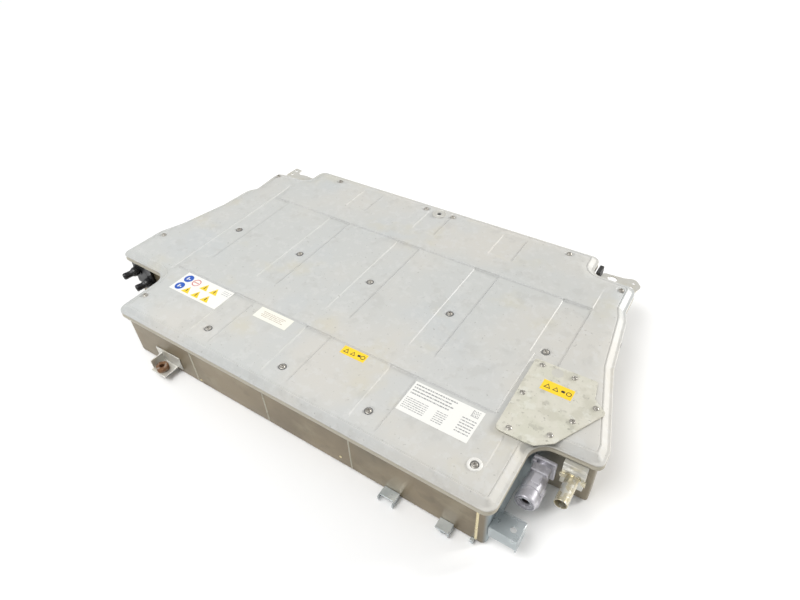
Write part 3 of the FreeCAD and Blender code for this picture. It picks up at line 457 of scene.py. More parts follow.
def add_layer(material, colour, scale, low, high, strength, stretch=(1.0, 1.0, 1.0)):
    """Lay patches of another colour over a finish; stretch scales the pattern's coordinates."""
    tree = material.node_tree
    place = tree.nodes.new("ShaderNodeMapping")
    place.inputs["Scale"].default_value = stretch
    place.inputs["Location"].default_value = (scale * 0.37, scale * 0.11, 0.5)
    tree.links.new(object_coordinates(tree), place.inputs["Vector"])
    spots = patches_node(tree, place.outputs["Vector"], scale, low, high)
    amount = tree.nodes.new("ShaderNodeMath")
    amount.operation = "MULTIPLY"
    amount.inputs[1].default_value = strength
    tree.links.new(spots.outputs["Mask"], amount.inputs[0])
    lay_over(material, amount.outputs["Value"], colour)


def add_smudge(material, centre, radius, colour, strength):
    """A round smudge of another colour: its mask falls from 1 to 0 with the distance from a centre."""
    tree = material.node_tree
    away = tree.nodes.new("ShaderNodeVectorMath")
    away.operation = "DISTANCE"
    away.inputs[1].default_value = centre
    tree.links.new(object_coordinates(tree), away.inputs[0])
    mask = tree.nodes.new("ShaderNodeMapRange")
    mask.inputs["From Min"].default_value = radius
    mask.inputs["From Max"].default_value = radius * 0.82
    mask.inputs["To Max"].default_value = strength
    tree.links.new(away.outputs["Value"], mask.inputs["Value"])
    lay_over(material, mask.outputs["Result"], colour)


def split_coordinates(tree):
    """The Object coordinates as X, Y and Z."""
    split = tree.nodes.new("ShaderNodeSeparateXYZ")
    tree.links.new(object_coordinates(tree), split.inputs["Vector"])
    return split


def add_height_tint(material, low, high, colour):
    """Give a finish another colour below a height: the mask falls from 1 to 0 between two heights."""
    tree = material.node_tree
    mask = tree.nodes.new("ShaderNodeMapRange")
    mask.inputs["From Min"].default_value = high
    mask.inputs["From Max"].default_value = low
    tree.links.new(split_coordinates(tree).outputs["Z"], mask.inputs["Value"])
    lay_over(material, mask.outputs["Result"], colour)


def lid_finish():
    """The lid's grey paint: warm and cool patches, faint yellow stains, marks and specks, and a darker,
    warmer tint on the skirt that is painted shade."""
    paint = coated("lid_paint", settings().lid_colour, 0.0, 0.48, 0.03, patch=(0.52, 0.507, 0.47),
                   patch_scale=2.2, patch_range=(0.42, 0.62), grain_scale=420.0, bump=0.05)
    add_layer(paint, (0.465, 0.485, 0.49), 3.1, 0.50, 0.64, 0.5)
    add_layer(paint, (0.52, 0.485, 0.37), 6.0, 0.55, 0.70, 0.40)
    add_layer(paint, (0.40, 0.395, 0.37), 22.0, 0.56, 0.66, 0.28)
    add_layer(paint, (0.56, 0.56, 0.545), 55.0, 0.54, 0.62, 0.35)
    add_layer(paint, (0.22, 0.21, 0.19), 130.0, 0.675, 0.70, 0.45)
    # Painted shade: the skirt below the flange is given a darker, browner tint.
    add_height_tint(paint, 0.149, 0.152, (0.41, 0.38, 0.305))


def cover_finish():
    """The service cover's dull zinc: cloudy, with stains, marks and specks and one round smudge."""
    zinc = coated("cover_zinc", settings().cover_colour, 0.15, 0.42, 0.04, patch=(0.57, 0.56, 0.47),
                  patch_scale=12.0, patch_range=(0.46, 0.60), grain_scale=300.0)
    add_layer(zinc, (0.47, 0.455, 0.37), 20.0, 0.50, 0.64, 0.5)
    add_layer(zinc, (0.34, 0.33, 0.28), 48.0, 0.57, 0.66, 0.42)
    add_layer(zinc, (0.70, 0.70, 0.64), 34.0, 0.56, 0.64, 0.45)
    add_layer(zinc, (0.20, 0.19, 0.16), 120.0, 0.64, 0.69, 0.45)
    add_smudge(zinc, (0.549, -0.050, 0.169), 0.0145, (0.52, 0.51, 0.47), 0.75)


def tray_finish():
    """Passivated zinc whose tint goes from warm on the long walls to bluish past the right notch. The warm
    base is partly painted shade and floor reflection; the bluish tint, laid on by x, is painted reflection.
    """
    look = settings()
    # Painted shade: this base colour is darker and browner than the zinc, for the shaded front wall and the
    # floor it reflects.
    material = coated("tray_zinc", look.warm_zinc_and_painted_shade, 0.35, 0.42, 0.07, patch=(0.205, 0.168, 0.116),
                      patch_scale=5.0, patch_range=(0.42, 0.66), grain_scale=180.0, bump=0.08)
    add_layer(material, (0.34, 0.292, 0.195), 7.0, 0.47, 0.68, 0.45, (1.4, 1.4, 2.6))
    add_layer(material, (0.165, 0.141, 0.095), 4.0, 0.48, 0.66, 0.6)
    add_layer(material, (0.13, 0.108, 0.07), 26.0, 0.56, 0.72, 0.35)
    tree = material.node_tree
    # Painted reflection: by x, a bluish tint strongest on the right notch's side wall, fading to the right.
    across = tree.nodes.new("ShaderNodeValToRGB")
    ramp = across.color_ramp
    ramp.elements[0].position = 0.556
    ramp.elements[0].color = (0.0, 0.0, 0.0, 1.0)
    ramp.elements[1].position = 0.562
    ramp.elements[1].color = (1.0, 1.0, 1.0, 1.0)
    for position, level in ((0.578, 1.0), (0.610, 0.25), (0.70, 0.1)):
        ramp.elements.new(position).color = (level, level, level, 1.0)
    tree.links.new(split_coordinates(tree).outputs["X"], across.inputs["Fac"])
    lay_over(material, across.outputs["Color"], look.cool_zinc_and_painted_reflection)


# Labels and inks: colour, roughness and mottle.
PRINTS = {
    "label_white": ((0.76, 0.755, 0.72), 0.4, 0.01),
    "label_cream": ((0.76, 0.75, 0.67), 0.45, 0.02),
    "ink_grey": ((0.27, 0.27, 0.27), 0.5, 0.1),
    "ink_brown": ((0.36, 0.26, 0.20), 0.5, 0.1),
    "ink_black": ((0.03, 0.03, 0.03), 0.5, 0.1),
    "ink_blue": ((0.02, 0.09, 0.42), 0.4, 0.05),
    "ink_yellow": ((0.85, 0.58, 0.03), 0.4, 0.03),
    "ink_red": ((0.55, 0.12, 0.10), 0.4, 0.05),
}


def make_materials():
    """Every finish of the pack, by name."""
    GROUPS["patches"] = patches_group()
    GROUPS["grain"] = grain_group()
    lid_finish()
    tray_finish()
    coated("cool_zinc_and_painted_reflection", (0.50, 0.55, 0.57), 0.55, 0.36, 0.08, patch=(0.56, 0.56, 0.50), patch_scale=14.0,
           patch_range=(0.45, 0.65), grain_scale=220.0)
    coated("zinc_bright", (0.52, 0.56, 0.57), 0.55, 0.28, 0.1, patch=(0.38, 0.42, 0.43),
           patch_scale=13.0, patch_range=(0.46, 0.62), grain_scale=240.0)
    coated("zinc_pale", (0.66, 0.65, 0.60), 0.5, 0.38, 0.08, patch=(0.60, 0.57, 0.48), patch_scale=22.0,
           patch_range=(0.45, 0.65), grain_scale=240.0)
    coated("zinc_yellow", (0.62, 0.56, 0.40), 0.7, 0.3, 0.08, patch=(0.66, 0.66, 0.62), patch_scale=40.0,
           patch_range=(0.45, 0.6))
    cover_finish()
    coated("steel_plain", (0.42, 0.42, 0.41), 0.8, 0.38, 0.06, patch=(0.35, 0.34, 0.32))
    coated("screw_steel", (0.43, 0.41, 0.37), 0.6, 0.38, 0.1, patch=(0.30, 0.28, 0.25), patch_scale=90.0)
    coated("header_alloy", (0.55, 0.54, 0.575), 0.5, 0.36, 0.06, patch=(0.40, 0.39, 0.42),
           patch_scale=38.0, grain_scale=500.0, bump=0.12)
    coated("aluminium", (0.70, 0.70, 0.71), 0.85, 0.33, 0.04)
    coated("copper", (0.72, 0.38, 0.24), 0.9, 0.3, 0.06, patch=(0.55, 0.30, 0.2), patch_scale=25.0)
    coated("black_plastic", (0.012, 0.012, 0.013), 0.0, 0.34, 0.2, grain_scale=700.0, bump=0.08)
    coated("black_rubber", (0.03, 0.03, 0.03), 0.0, 0.72, 0.2, grain_scale=500.0, bump=0.2)
    coated("natural_plastic", (0.62, 0.60, 0.54), 0.0, 0.5, 0.05)
    coated("cell_film", (0.03, 0.10, 0.33), 0.0, 0.4, 0.1)
    coated("washer_white", (0.70, 0.69, 0.65), 0.0, 0.45, 0.03)
    coated("weld_pale", (0.43, 0.41, 0.33), 0.4, 0.35, 0.08)
    coated("weld_gold", (0.78, 0.68, 0.42), 0.45, 0.35, 0.08)
    # Dark grey of the rings under the inner lid screws: partly seal rubber, partly painted shade.
    coated("seal_grey_and_painted_shade", (0.10, 0.10, 0.10), 0.0, 0.6, 0.1)
    coated("rust", (0.20, 0.10, 0.045), 0.2, 0.75, 0.3, patch=(0.32, 0.27, 0.22), patch_scale=60.0,
           grain_scale=320.0, bump=0.4)
    for name, (colour, roughness, mottle) in PRINTS.items():
        coated(name, colour, 0.0, roughness, mottle, bump=0.02)


# The finish of each CAD node.
NODE_FINISH = {
    "tray": "tray_zinc", "lid_seal": "black_rubber", "service_seal": "black_rubber",
    "service_cover": "cover_zinc", "bracket_front_right": "cool_zinc_and_painted_reflection",
    "bracket_front_left": "cool_zinc_and_painted_reflection", "bracket_rear_left": "cool_zinc_and_painted_reflection",
    "bracket_rear_right": "cool_zinc_and_painted_reflection", "wall_clips": "cool_zinc_and_painted_reflection", "vent_block": "cool_zinc_and_painted_reflection",
    "vent_tube": "zinc_yellow", "rear_buffer": "black_rubber", "mount_bush": "rust",
    "lid_washer": "washer_white", "coolant_port_plate": "black_plastic",
    "signal_connector": "black_plastic", "battery_controller": "black_plastic",
    "junction_base": "steel_plain", "lid_pillars": "steel_plain", "cooling_plate": "aluminium",
    "coolant_pipe_inlet": "aluminium", "coolant_pipe_outlet": "aluminium",
    "cell_links": "aluminium", "module_covers": "natural_plastic", "busbars": "copper",
    "contactor_positive": "black_plastic", "contactor_negative": "black_plastic",
    "armature_positive": "steel_plain", "armature_negative": "steel_plain",
    "main_fuse": "natural_plastic", "current_sensor": "black_plastic", "labels": "label_white",
    "coolant_elbow_inlet": "black_plastic", "coolant_elbow_outlet": "black_plastic",
    "lid": "lid_paint", "hv_header": "header_alloy", "hv_insert": "black_plastic",
    "lid_screws": "screw_steel", "service_screws": "screw_steel",
}
# The finish of the nodes whose names start alike.
NODE_PREFIX_FINISH = {
    "cross_member": "steel_plain", "module_frame": "aluminium", "module_cells": "cell_film",
}


# ------------------------------------------------------------------ lid

def rim_distance(x, y):
    """Distance in millimetres from each point to the loop where the rim meets the lid's top:
    the least over the loop's segments of |p - a - t (b - a)|, with t clamped to 0..1."""
    start = outline_loop(OUTLINE, RIM_INSET, arc_steps=5, run_length=2000.0)
    along = np.roll(start, -1, 0) - start
    offset_x = np.ravel(x)[:, None] - start[:, 0]
    offset_y = np.ravel(y)[:, None] - start[:, 1]
    share = np.clip((offset_x * along[:, 0] + offset_y * along[:, 1]) / np.sum(along * along, 1), 0, 1)
    away = np.hypot(offset_x - share * along[:, 0], offset_y - share * along[:, 1])
    return np.min(away, 1).reshape(np.shape(x))


def lid_height(x, y):
    """Height of the lid's top in millimetres: two terraces that rise towards the back, recessed bands over
    the cross members, a dimple round each screw and a ringed boss. Each is a sum or product of smooth
    steps. Towards both ends the terraces' edges soften."""
    look = settings()
    first = smooth_step(y - FIRST_TERRACE_Y, STEP_SLOPE) * smooth_step(FIRST_TERRACE_END_X - x, SIDE_SLOPE)
    first = np.maximum(first, smooth_step(y - STRIP_FRONT_Y, SIDE_SLOPE))
    second = smooth_step(y - SECOND_TERRACE_Y, STEP_SLOPE)
    left_soft = sum(smooth_step(y - middle, width) for middle, width in LEFT_RISES)
    right_soft = sum(smooth_step(y - middle, width) for middle, width in RIGHT_RISES)
    left_share = smooth_step(LEFT_FIELD_X - x, 8.0)
    right_share = smooth_step(x - RIGHT_FIELD_X, SIDE_SLOPE)
    level = (first + second) * (1 - left_share - right_share)
    level = level + left_soft * left_share + right_soft * right_share
    height = RIM_TOP + look.terrace_rise / MM * level * smooth_step(rim_distance(x, y) - 6, 12.0)
    height = height - look.panel_rise / MM * lid_recess(x, y)
    radius, slope, depth = DIMPLE
    for screw_x, screw_y in lid_screw_centres():
        away = np.hypot(x - screw_x, y - screw_y)
        height = height - depth * smooth_step(radius - away, slope)
    away = np.hypot(x - BOSS[0], y - BOSS[1])
    for radius, slope, rise in BOSS_STEPS:
        height = height + rise * smooth_step(radius - away, slope)
    return height


def lid_height_at(x, y):
    """The lid's height at one point, in millimetres."""
    return float(lid_height(np.array([x], float), np.array([y], float))[0])


def lid_recess(x, y):
    """1 in the recessed bands and 0 on the raised fields. A band is closed by a step at the front and runs
    into the terrace's edge at the back; the middle and rear bands start with a soft ramp."""
    recess = np.zeros_like(x)
    for column, (low, high) in enumerate(BANDS[:4]):
        across = smooth_step(x - low, BAND_SLOPE) * smooth_step(high - x, BAND_SLOPE)
        runs = smooth_step(y - MIDDLE_RAMP_Y, 16.0) * smooth_step(SECOND_TERRACE_Y - y, STEP_SLOPE)
        if column:
            front = smooth_step(y - BAND_FRONT_Y, BAND_FRONT_SLOPE)
            runs = runs + front * smooth_step(FIRST_TERRACE_Y - y, STEP_SLOPE)
            runs = runs + smooth_step(y - REAR_RAMP_Y, 14.0) * smooth_step(REAR_BAND_END_Y - y, 20.0)
        recess = np.maximum(recess, across * runs)
    low, high = BANDS[4]
    strip = smooth_step(x - low, SIDE_SLOPE) * smooth_step(high - x, SIDE_SLOPE)
    strip = strip * smooth_step(y - STRIP_FRONT_Y, SIDE_SLOPE)
    strip = strip * smooth_step(SECOND_TERRACE_Y - y, STEP_SLOPE)
    shelf_x = np.where(y > SHELF_TURN_Y, SHELF_X[0], SHELF_X[1])
    shelf = smooth_step(x - shelf_x, SIDE_SLOPE) * smooth_step(y - BAND_FRONT_Y, BAND_FRONT_SLOPE)
    shelf = shelf * smooth_step(SHELF_BACK_Y - y, 14.0)
    low_x, high_x, low_y, high_y = LEFT_LINE
    left_line = smooth_step(x - low_x, SIDE_SLOPE) * smooth_step(high_x - x, 14.0)
    left_line = left_line * smooth_step(y - low_y, 6.0) * smooth_step(high_y - y, 12.0)
    return np.maximum.reduce([recess, strip, shelf, left_line])


def lid_screw_centres():
    """Centres of the lid's screws."""
    rows = [(x, y) for x in SCREW_X for y in (FRONT_SCREW_Y, MIDDLE_SCREW_Y)]
    return rows + OUTER_SCREWS


def clustered(low, high, edges, step):
    """Grid lines every step, with a few close lines across each edge of the relief."""
    fine = np.array((-2.8, -1.4, -0.7, 0.0, 0.7, 1.4, 2.8))
    lines = [np.arange(low, high, step)] + [edge + fine for edge in edges]
    return np.unique(np.round(np.concatenate(lines), 2))


def point_in_loop(points, loop):
    """True where a horizontal ray from a point crosses the loop an odd number of times."""
    x, y = points[:, 0][:, None], points[:, 1][:, None]
    start, end = loop, np.roll(loop, -1, 0)
    crosses = (start[:, 1] > y) != (end[:, 1] > y)
    span = np.where(np.abs(end[:, 1] - start[:, 1]) < 1e-9, 1e-9, end[:, 1] - start[:, 1])
    at = start[:, 0] + (y - start[:, 1]) * (end[:, 0] - start[:, 0]) / span
    return np.sum(crosses & (x < at), 1) % 2 == 1


def lid_field(loop):
    """Triangles of the lid's top inside a loop: a grid that is fine across the relief, and rings of points
    round the screws and the boss."""
    x_edges = [edge for band in BANDS for edge in band] + [LEFT_FIELD_X, FIRST_TERRACE_END_X, *SHELF_X]
    y_edges = [BAND_FRONT_Y, FIRST_TERRACE_Y, SECOND_TERRACE_Y, STRIP_FRONT_Y, SHELF_TURN_Y]
    for ramp, half in ((MIDDLE_RAMP_Y, 5), (REAR_RAMP_Y, 6), (REAR_BAND_END_Y, 7)):
        y_edges += [ramp - half, ramp + half]
    xs = clustered(-700, 700, x_edges, 22.0)
    ys = clustered(-400, 400, y_edges, 22.0)
    grid = np.stack(np.meshgrid(xs, ys), 2).reshape(-1, 2)
    grid = grid[point_in_loop(grid, outline_loop(OUTLINE, RIM_INSET + 4.0))]
    centres = np.array(lid_screw_centres() + [BOSS], float)
    angles = np.linspace(0, 2 * math.pi, 28, endpoint=False)
    circle = np.stack([np.cos(angles), np.sin(angles)], 1)[None]
    radii = (3.0, 5.5, 6.2, 6.9, 9.6, 10.4, 11.2, 12.0, 12.9, 14.5)
    rings = [(centres[:, None, :] + radius * circle).reshape(-1, 2) for radius in radii]
    rings = np.concatenate(rings + [centres])
    rings = rings[point_in_loop(rings, outline_loop(OUTLINE, RIM_INSET + 1.0))]
    apart = grid[:, None, :] - centres[None]
    near = np.min(np.hypot(apart[:, :, 0], apart[:, :, 1]), 1)
    return filled(loop, np.concatenate([grid[near > 16.5], rings]))


def lid_mesh():
    """The lid: a rolled rim carried round the outline and the relief of its top, joined along one loop.
    The rim's profile is (inset, height): a skirt with a shallow groove, a rounded edge, a flange, a slope
    and a narrow groove."""
    turn = np.linspace(0, math.pi / 2, 6)
    edge = np.stack([2.2 - 2.2 * np.cos(turn), FLANGE_TOP - 2.2 + 2.2 * np.sin(turn)], 1)
    low_half, high_half = turn / 2, math.pi / 4 + turn / 2
    foot = np.stack([FOOT_INSET + 5.0 * np.sin(low_half), FLANGE_TOP + 5.0 - 5.0 * np.cos(low_half)], 1)
    crown = np.stack([RIM_INSET - 3.5 - 5.0 * np.cos(high_half), RIM_TOP - 5.0 + 5.0 * np.sin(high_half)], 1)
    skirt = np.array([(0.0, SKIRT_BOTTOM), (0.0, SKIRT_BOTTOM + 4.0), (1.5, SKIRT_BOTTOM + 5.6),
                      (2.2, 144.5), (1.7, 147.0), (0.4, 149.5)])
    flat = np.array([(3.8, FLANGE_TOP - 0.2)])
    bead = np.array([(RIM_INSET - 3.0, RIM_TOP - 0.2), (RIM_INSET - 2.2, RIM_TOP - 1.3),
                     (RIM_INSET - 1.2, RIM_TOP - 1.3), (RIM_INSET - 0.5, RIM_TOP - 0.2),
                     (RIM_INSET, RIM_TOP)])
    profile = np.concatenate([skirt, edge, flat, foot, crown, bead])
    loops = swept(profile)
    rim = (np.concatenate(loops), grid_faces(len(loops), len(loops[0])))
    loop = loops[-1][:, :2]
    points, faces = lid_field(loop)
    heights = lid_height(points[:, 0], points[:, 1])
    apart = points[:, None, :] - loop[None]
    on_loop = np.min(np.hypot(apart[:, :, 0], apart[:, :, 1]), 1) < 1e-3
    heights[on_loop] = RIM_TOP
    return merged([rim, (np.column_stack([points, heights]), faces)])


def weld(item):
    """Join points that lie on each other."""
    mesh = bmesh.new()
    mesh.from_mesh(item.data)
    bmesh.ops.remove_doubles(mesh, verts=mesh.verts, dist=0.00001)
    mesh.to_mesh(item.data)
    mesh.free()


def make_lid():
    """The stamped and painted lid."""
    lid = piece("lid_skin", lid_mesh(), "lid_paint", stands_for=["lid"], smooth=False)
    weld(lid)
    shade(lid.data, 60)
    wall = lid.modifiers.new("sheet", "SOLIDIFY")
    wall.thickness = SHEET * MM
    wall.offset = -1.0


# ------------------------------------------------------------------ screws

def screw_profile(head, dome, height):
    """Half section of a flanged screw head with a socket, as (height, radius)."""
    return [(0.0, head), (0.9, head), (1.3, head - 0.7), (1.5, dome + 0.6), (2.2, dome),
            (height - 0.8, dome), (height - 0.2, dome - 0.5), (height, dome - 1.2), (height, dome * 0.55),
            (height - 0.3, dome * 0.5), (height - 2.2, dome * 0.5), (height - 2.4, 0.0)]


def make_screws():
    """Lid screws in their dimples with dark seal rings round the inner ones, partly painted shade in the
    dimples, the boss's ring and plug, the service cover's screws, and the washer's rounded ring."""
    origin, up, down = (0, 0, 0), (0, 0, 1), (0, 0, -1)
    seats = [(x, y, lid_height_at(x, y)) for x, y in lid_screw_centres()]
    head = lathe(origin, up, screw_profile(7.6, 5.4, 4.4), 40)
    piece("lid_screw_heads", repeated(head, seats), "screw_steel", stands_for=["lid_screws"])
    # The dark ring under each inner screw is partly a seal and partly painted shade round the head in its
    # dimple.
    seal = lathe(origin, up, [(-0.3, 7.5), (0.5, 7.6), (0.8, 8.2), (0.7, 9.2), (0.3, 9.8), (-0.3, 10.0)], 40)
    piece("screw_seals_and_painted_shade", repeated(seal, seats[1:len(SCREW_X) * 2]), "seal_grey_and_painted_shade")
    ring = [(2.0, 7.6), (0.3, 7.8), (0.0, 8.6), (0.0, 10.8), (0.7, 11.8), (0.7, 17.6), (0.0, 18.6),
            (0.1, 20.4), (0.8, 21.4), (2.4, 21.8)]
    piece("boss_ring", lathe((*BOSS, 170.3), down, ring, 48), "zinc_pale")
    plug = [(0.0, 0.0), (0.0, 4.6), (0.5, 5.9), (3.0, 6.1)]
    piece("boss_plug", lathe((*BOSS, 167.4), down, plug, 32), "black_rubber")
    small = [(height * 0.62, radius * 0.78) for height, radius in screw_profile(8.5, 6.2, 4.6)]
    places = [(x, y, COVER_TOP) for x, y in COVER_SCREWS]
    piece("cover_screw_heads", repeated(lathe(origin, up, small, 36), places), "screw_steel",
          stands_for=["service_screws"])
    washer = [(-2.0, 9.2), (0.6, 9.4), (1.6, 10.4), (2.1, 12.0), (1.9, 14.0), (1.0, 15.4), (-0.4, 16.0)]
    top = lid_height_at(SCREW_X[-1] + washer[-1][1], FRONT_SCREW_Y)
    piece("washer_ring", lathe((SCREW_X[-1], FRONT_SCREW_Y, top), up, washer, 56), "washer_white",
          stands_for=["lid_washer"])


# ------------------------------------------------------------------ ports

def make_hv_connector():
    """The round alloy connector: a shell with a ringed mouth, a square-shouldered body with a flange, latch,
    lever and lug, and the black insert with its contact."""
    x, z, front = 605.0, 97.0, -335.0
    outer = [(20.0, 0.0), (20.0, 9.4), (6.0, 9.6), (3.4, 10.0), (3.4, 13.2), (1.2, 13.8), (0.6, 14.6),
             (0.6, 16.8), (2.4, 17.2), (2.4, 19.2), (0.4, 19.6), (0.0, 20.4), (0.5, 22.0), (1.8, 22.9),
             (4.0, 23.0), (22.0, 23.0), (23.0, 21.4), (27.0, 21.4), (28.0, 23.0), (46.0, 23.0), (47.0, 22.0),
             (50.0, 21.6), (62.0, 21.4), (66.0, 20.6), (68.0, 18.5), (70.0, 17.5), (90.0, 17.0),
             (104.0, 17.0)]
    shell = lathe((x, front, z), (0, 1, 0), outer, 64)
    piece("hv_shell", shell, "header_alloy", stands_for=["hv_header"])
    shoulder = box_mesh((x - 19, front + 66, z - 15), (x + 19, front + 86, z + 21))
    flange = box_mesh((x - 24, front + 92, z - 27), (x + 26, front + 100, z + 27))
    latch = box_mesh((x + 12, front + 12, z - 17), (x + 25.0, front + 50, z + 3))
    lever = box_mesh((x - 8, front + 36, z + 12), (x + 12, front + 62, z + 24.5))
    lug = box_mesh((x - 24, front + 84, z + 10), (x - 14, front + 96, z + 24))
    body = piece("hv_body", merged([shoulder, flange, latch, lever, lug]), "header_alloy",
                 smooth=False)
    add_bevel(body, 2.5, 3)
    inner = [(0.0, 9.0), (12.0, 9.0), (13.6, 8.4), (14.0, 7.4), (14.0, 5.4), (9.0, 5.2), (3.0, 5.0),
             (3.0, 0.0)]
    insert = lathe((x, front + 20, z), (0, -1, 0), inner, 40)
    piece("hv_insert_body", insert, "black_plastic", stands_for=["hv_insert"])
    contact = box_mesh((x - 2.4, front + 9, z - 2.4), (x + 2.4, front + 19, z + 2.4))
    piece("hv_contact", contact, "copper", smooth=False)


def elbow_rings(place):
    """Centres, directions and radii along an elbow: collar, bend and nozzle outside, then back inside its
    bore. The centreline is straight, turns through an arc, and is straight again."""
    x, z = STUBS[place]
    start = np.array([x, PORT_WALL_Y - STUB_LENGTH, z])
    lean = math.radians(14)
    collar_length, bend_radius, nozzle_length = 8.0, 25.0, 27.0
    arc = bend_radius * lean

    def at(s):
        """Point and direction at a length along the centreline."""
        if s <= collar_length:
            return start + np.array([0, -s, 0]), np.array([0, -1.0, 0])
        angle = min((s - collar_length) / bend_radius, lean)
        centre = start + np.array([-bend_radius, -collar_length, 0])
        point = centre + bend_radius * np.array([math.cos(angle), -math.sin(angle), 0])
        direction = np.array([-math.sin(angle), -math.cos(angle), 0])
        return point + direction * max(s - collar_length - arc, 0.0), direction

    total = collar_length + arc + nozzle_length
    profile = [(0.0, 9.3), (0.0, 13.2), (0.5, 13.9), (3.0, 13.9), (3.5, 12.8), (5.5, 12.8), (6.0, 13.9),
               (9.0, 13.9), (9.6, 13.0), (12.5, 12.6), (14.5, 11.4), (16.0, 10.4), (17.0, 9.8), (24.0, 9.6),
               (30.0, 9.6), (32.0, 9.9), (34.0, 10.0), (total - 3.0, 10.0), (total - 1.0, 9.5), (total, 8.6),
               (total, 7.6), (total - 0.8, 7.0), (total - 8.0, 7.0), (20.0, 7.0), (10.0, 7.0)]
    stations = [(*at(s), radius) for s, radius in profile]
    return [list(column) for column in zip(*stations)]


def make_elbows():
    """Both swivelling coolant elbows with their clips."""
    for place, (x, z) in STUBS.items():
        body = place + "_elbow"
        piece("elbow_" + place, ring_surface(*elbow_rings(place), 48), "black_plastic", body,
              ["coolant_elbow_" + place], angle=40)
        y = PORT_WALL_Y - STUB_LENGTH
        tabs = [box_mesh((x + low, y - 12, z - 3.5), (x + high, y - 1.5, z + 3.5))
                for low, high in ((-15.8, -12.5), (12.5, 15.8))]
        clip = piece("elbow_clip_" + place, merged(tabs), "black_plastic", body, smooth=False)
        add_bevel(clip, 1.0)


# ------------------------------------------------------------------ details of the tray

def bead_mesh(x, y, low, high, half_width, rise):
    """An upright bead on a wall that faces -Y: it stands out by rise times cos squared of the way across,
    times the root of the way in from an end, so that its ends are domed."""
    across = np.linspace(-1, 1, 13)
    along = np.linspace(-1, 1, 41)
    u, v = np.meshgrid(across, along)
    lift = np.cos(u * math.pi / 2) ** 2 * np.clip((1 - np.abs(v)) * 8, 0, 1) ** 0.5
    height = (low + high) / 2 + v * (high - low) / 2
    points = np.stack([x + u * half_width, y + 0.4 - rise * lift, height], 2)
    return points.reshape(-1, 3), grid_faces(len(along), len(across), closed=False)


def make_tray_details():
    """Upright weld seams of the front wall, and small weld studs."""
    seams = [bead_mesh(x, FRONT_WALL_Y, 8, 132, 3.0, 2.2) for x in (-268, -20, 230)]
    piece("wall_seams", merged(seams), "weld_pale")
    piece("corner_seam", bead_mesh(541, FRONT_WALL_Y, 8, 133, 4.0, 3.4), "weld_gold")
    stud = lathe((0, 0, 0), (0, -1, 0), [(-0.5, 3.2), (0.4, 3.2), (1.0, 2.6), (1.3, 1.4), (1.4, 0.0)], 20)
    places = [(x, FRONT_WALL_Y, z) for x, z in ((526, 118), (-258, 16), (200, 30))]
    piece("wall_studs", repeated(stud, places), "weld_gold")


def softened(name, width, material):
    """A CAD sub-part with rounded edges: its mesh is copied, joined up, and its flat faces merged first."""
    mesh = bmesh.new()
    mesh.from_mesh(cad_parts[name].data)
    bmesh.ops.remove_doubles(mesh, verts=mesh.verts, dist=0.00002)
    bmesh.ops.dissolve_limit(mesh, angle_limit=math.radians(1.0), verts=mesh.verts, edges=mesh.edges)
    copy = bpy.data.meshes.new(name + "_soft")
    mesh.to_mesh(copy)
    mesh.free()
    copy.materials.clear()
    copy.materials.append(MATERIALS[material])
    shade(copy, 35)
    item = new_object(name + "_soft", copy)
    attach(item, BODY)
    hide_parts(name)
    add_bevel(item, width)


# Name of the sub-part, width of its rounded edges in millimetres, finish and slot.
SOFTENED = [
    ("bracket_front_right", 1.1, "zinc_bright", "zinc_steel"),
    ("bracket_front_left", 1.1, "zinc_pale", "zinc_steel"),
    ("bracket_rear_left", 0.9, "zinc_pale", "zinc_steel"),
    ("bracket_rear_right", 0.9, "zinc_pale", "zinc_steel"),
    ("wall_clips", 0.7, "zinc_bright", "zinc_steel"),
    ("vent_block", 1.2, "zinc_pale", "tube_zinc"),
    ("mount_bush", 1.4, "rust", "bush_steel"),
    ("rear_buffer", 2.0, "black_rubber", "seal_rubber"),
    ("service_cover", 0.9, "cover_zinc", "cover_zinc"),
    ("coolant_port_plate", 1.4, "black_plastic", "port_black"),
    ("signal_connector", 1.2, "black_plastic", "port_black"),
    ("vent_tube", 0.4, "zinc_yellow", "tube_zinc"),
]


def tray_floor_height(x, y):
    """Height of the floor's underside: 0, with long stiffening grooves 2 mm deep that end in round heads."""
    groove = np.zeros_like(x)
    for centre in (-300, -180, -60, 60, 180, 300):
        for low, high in ((-560, -330), (-280, -20), (30, 280), (330, 540)):
            inside = inside_rectangle(x, y, low, high, centre - 14, centre + 14, 13.0, 8.0)
            groove = np.maximum(groove, inside)
    return 2.0 * groove


def tray_mesh():
    """The tray: a wall carried round the outline with a rounded lower edge, joined to a grooved floor.
    The profile is (inset, height); the lower edge is a quarter circle."""
    turn = np.linspace(0, math.pi / 2, 7)
    radius = 9.0
    upper = [(WALL_INSET + 2.5, 149.0)] + [(WALL_INSET, height) for height in (149.0, 128.0, 80.0, 40.0)]
    lower = np.stack([WALL_INSET + radius - radius * np.cos(turn), radius - radius * np.sin(turn)], 1)
    loops = swept(np.concatenate([upper, lower, [(WALL_INSET + radius + 6.0, 0.0)]]))
    rim = (np.concatenate(loops), grid_faces(len(loops), len(loops[0]))[:, ::-1])
    grid = np.stack(np.meshgrid(np.arange(-700, 700, 7.0), np.arange(-400, 400, 4.5)), 2).reshape(-1, 2)
    grid = grid[point_in_loop(grid, outline_loop(OUTLINE, WALL_INSET + radius + 9.0))]
    points, faces = filled(loops[-1][:, :2], grid)
    heights = tray_floor_height(points[:, 0], points[:, 1])
    return merged([rim, (np.column_stack([points, heights]), faces[:, ::-1])])


def make_tray():
    """The tray's outer skin."""
    tray = piece("tray_skin", tray_mesh(), "tray_zinc", stands_for=["tray"], smooth=False)
    weld(tray)
    shade(tray.data, 50)


# ------------------------------------------------------------------ labels

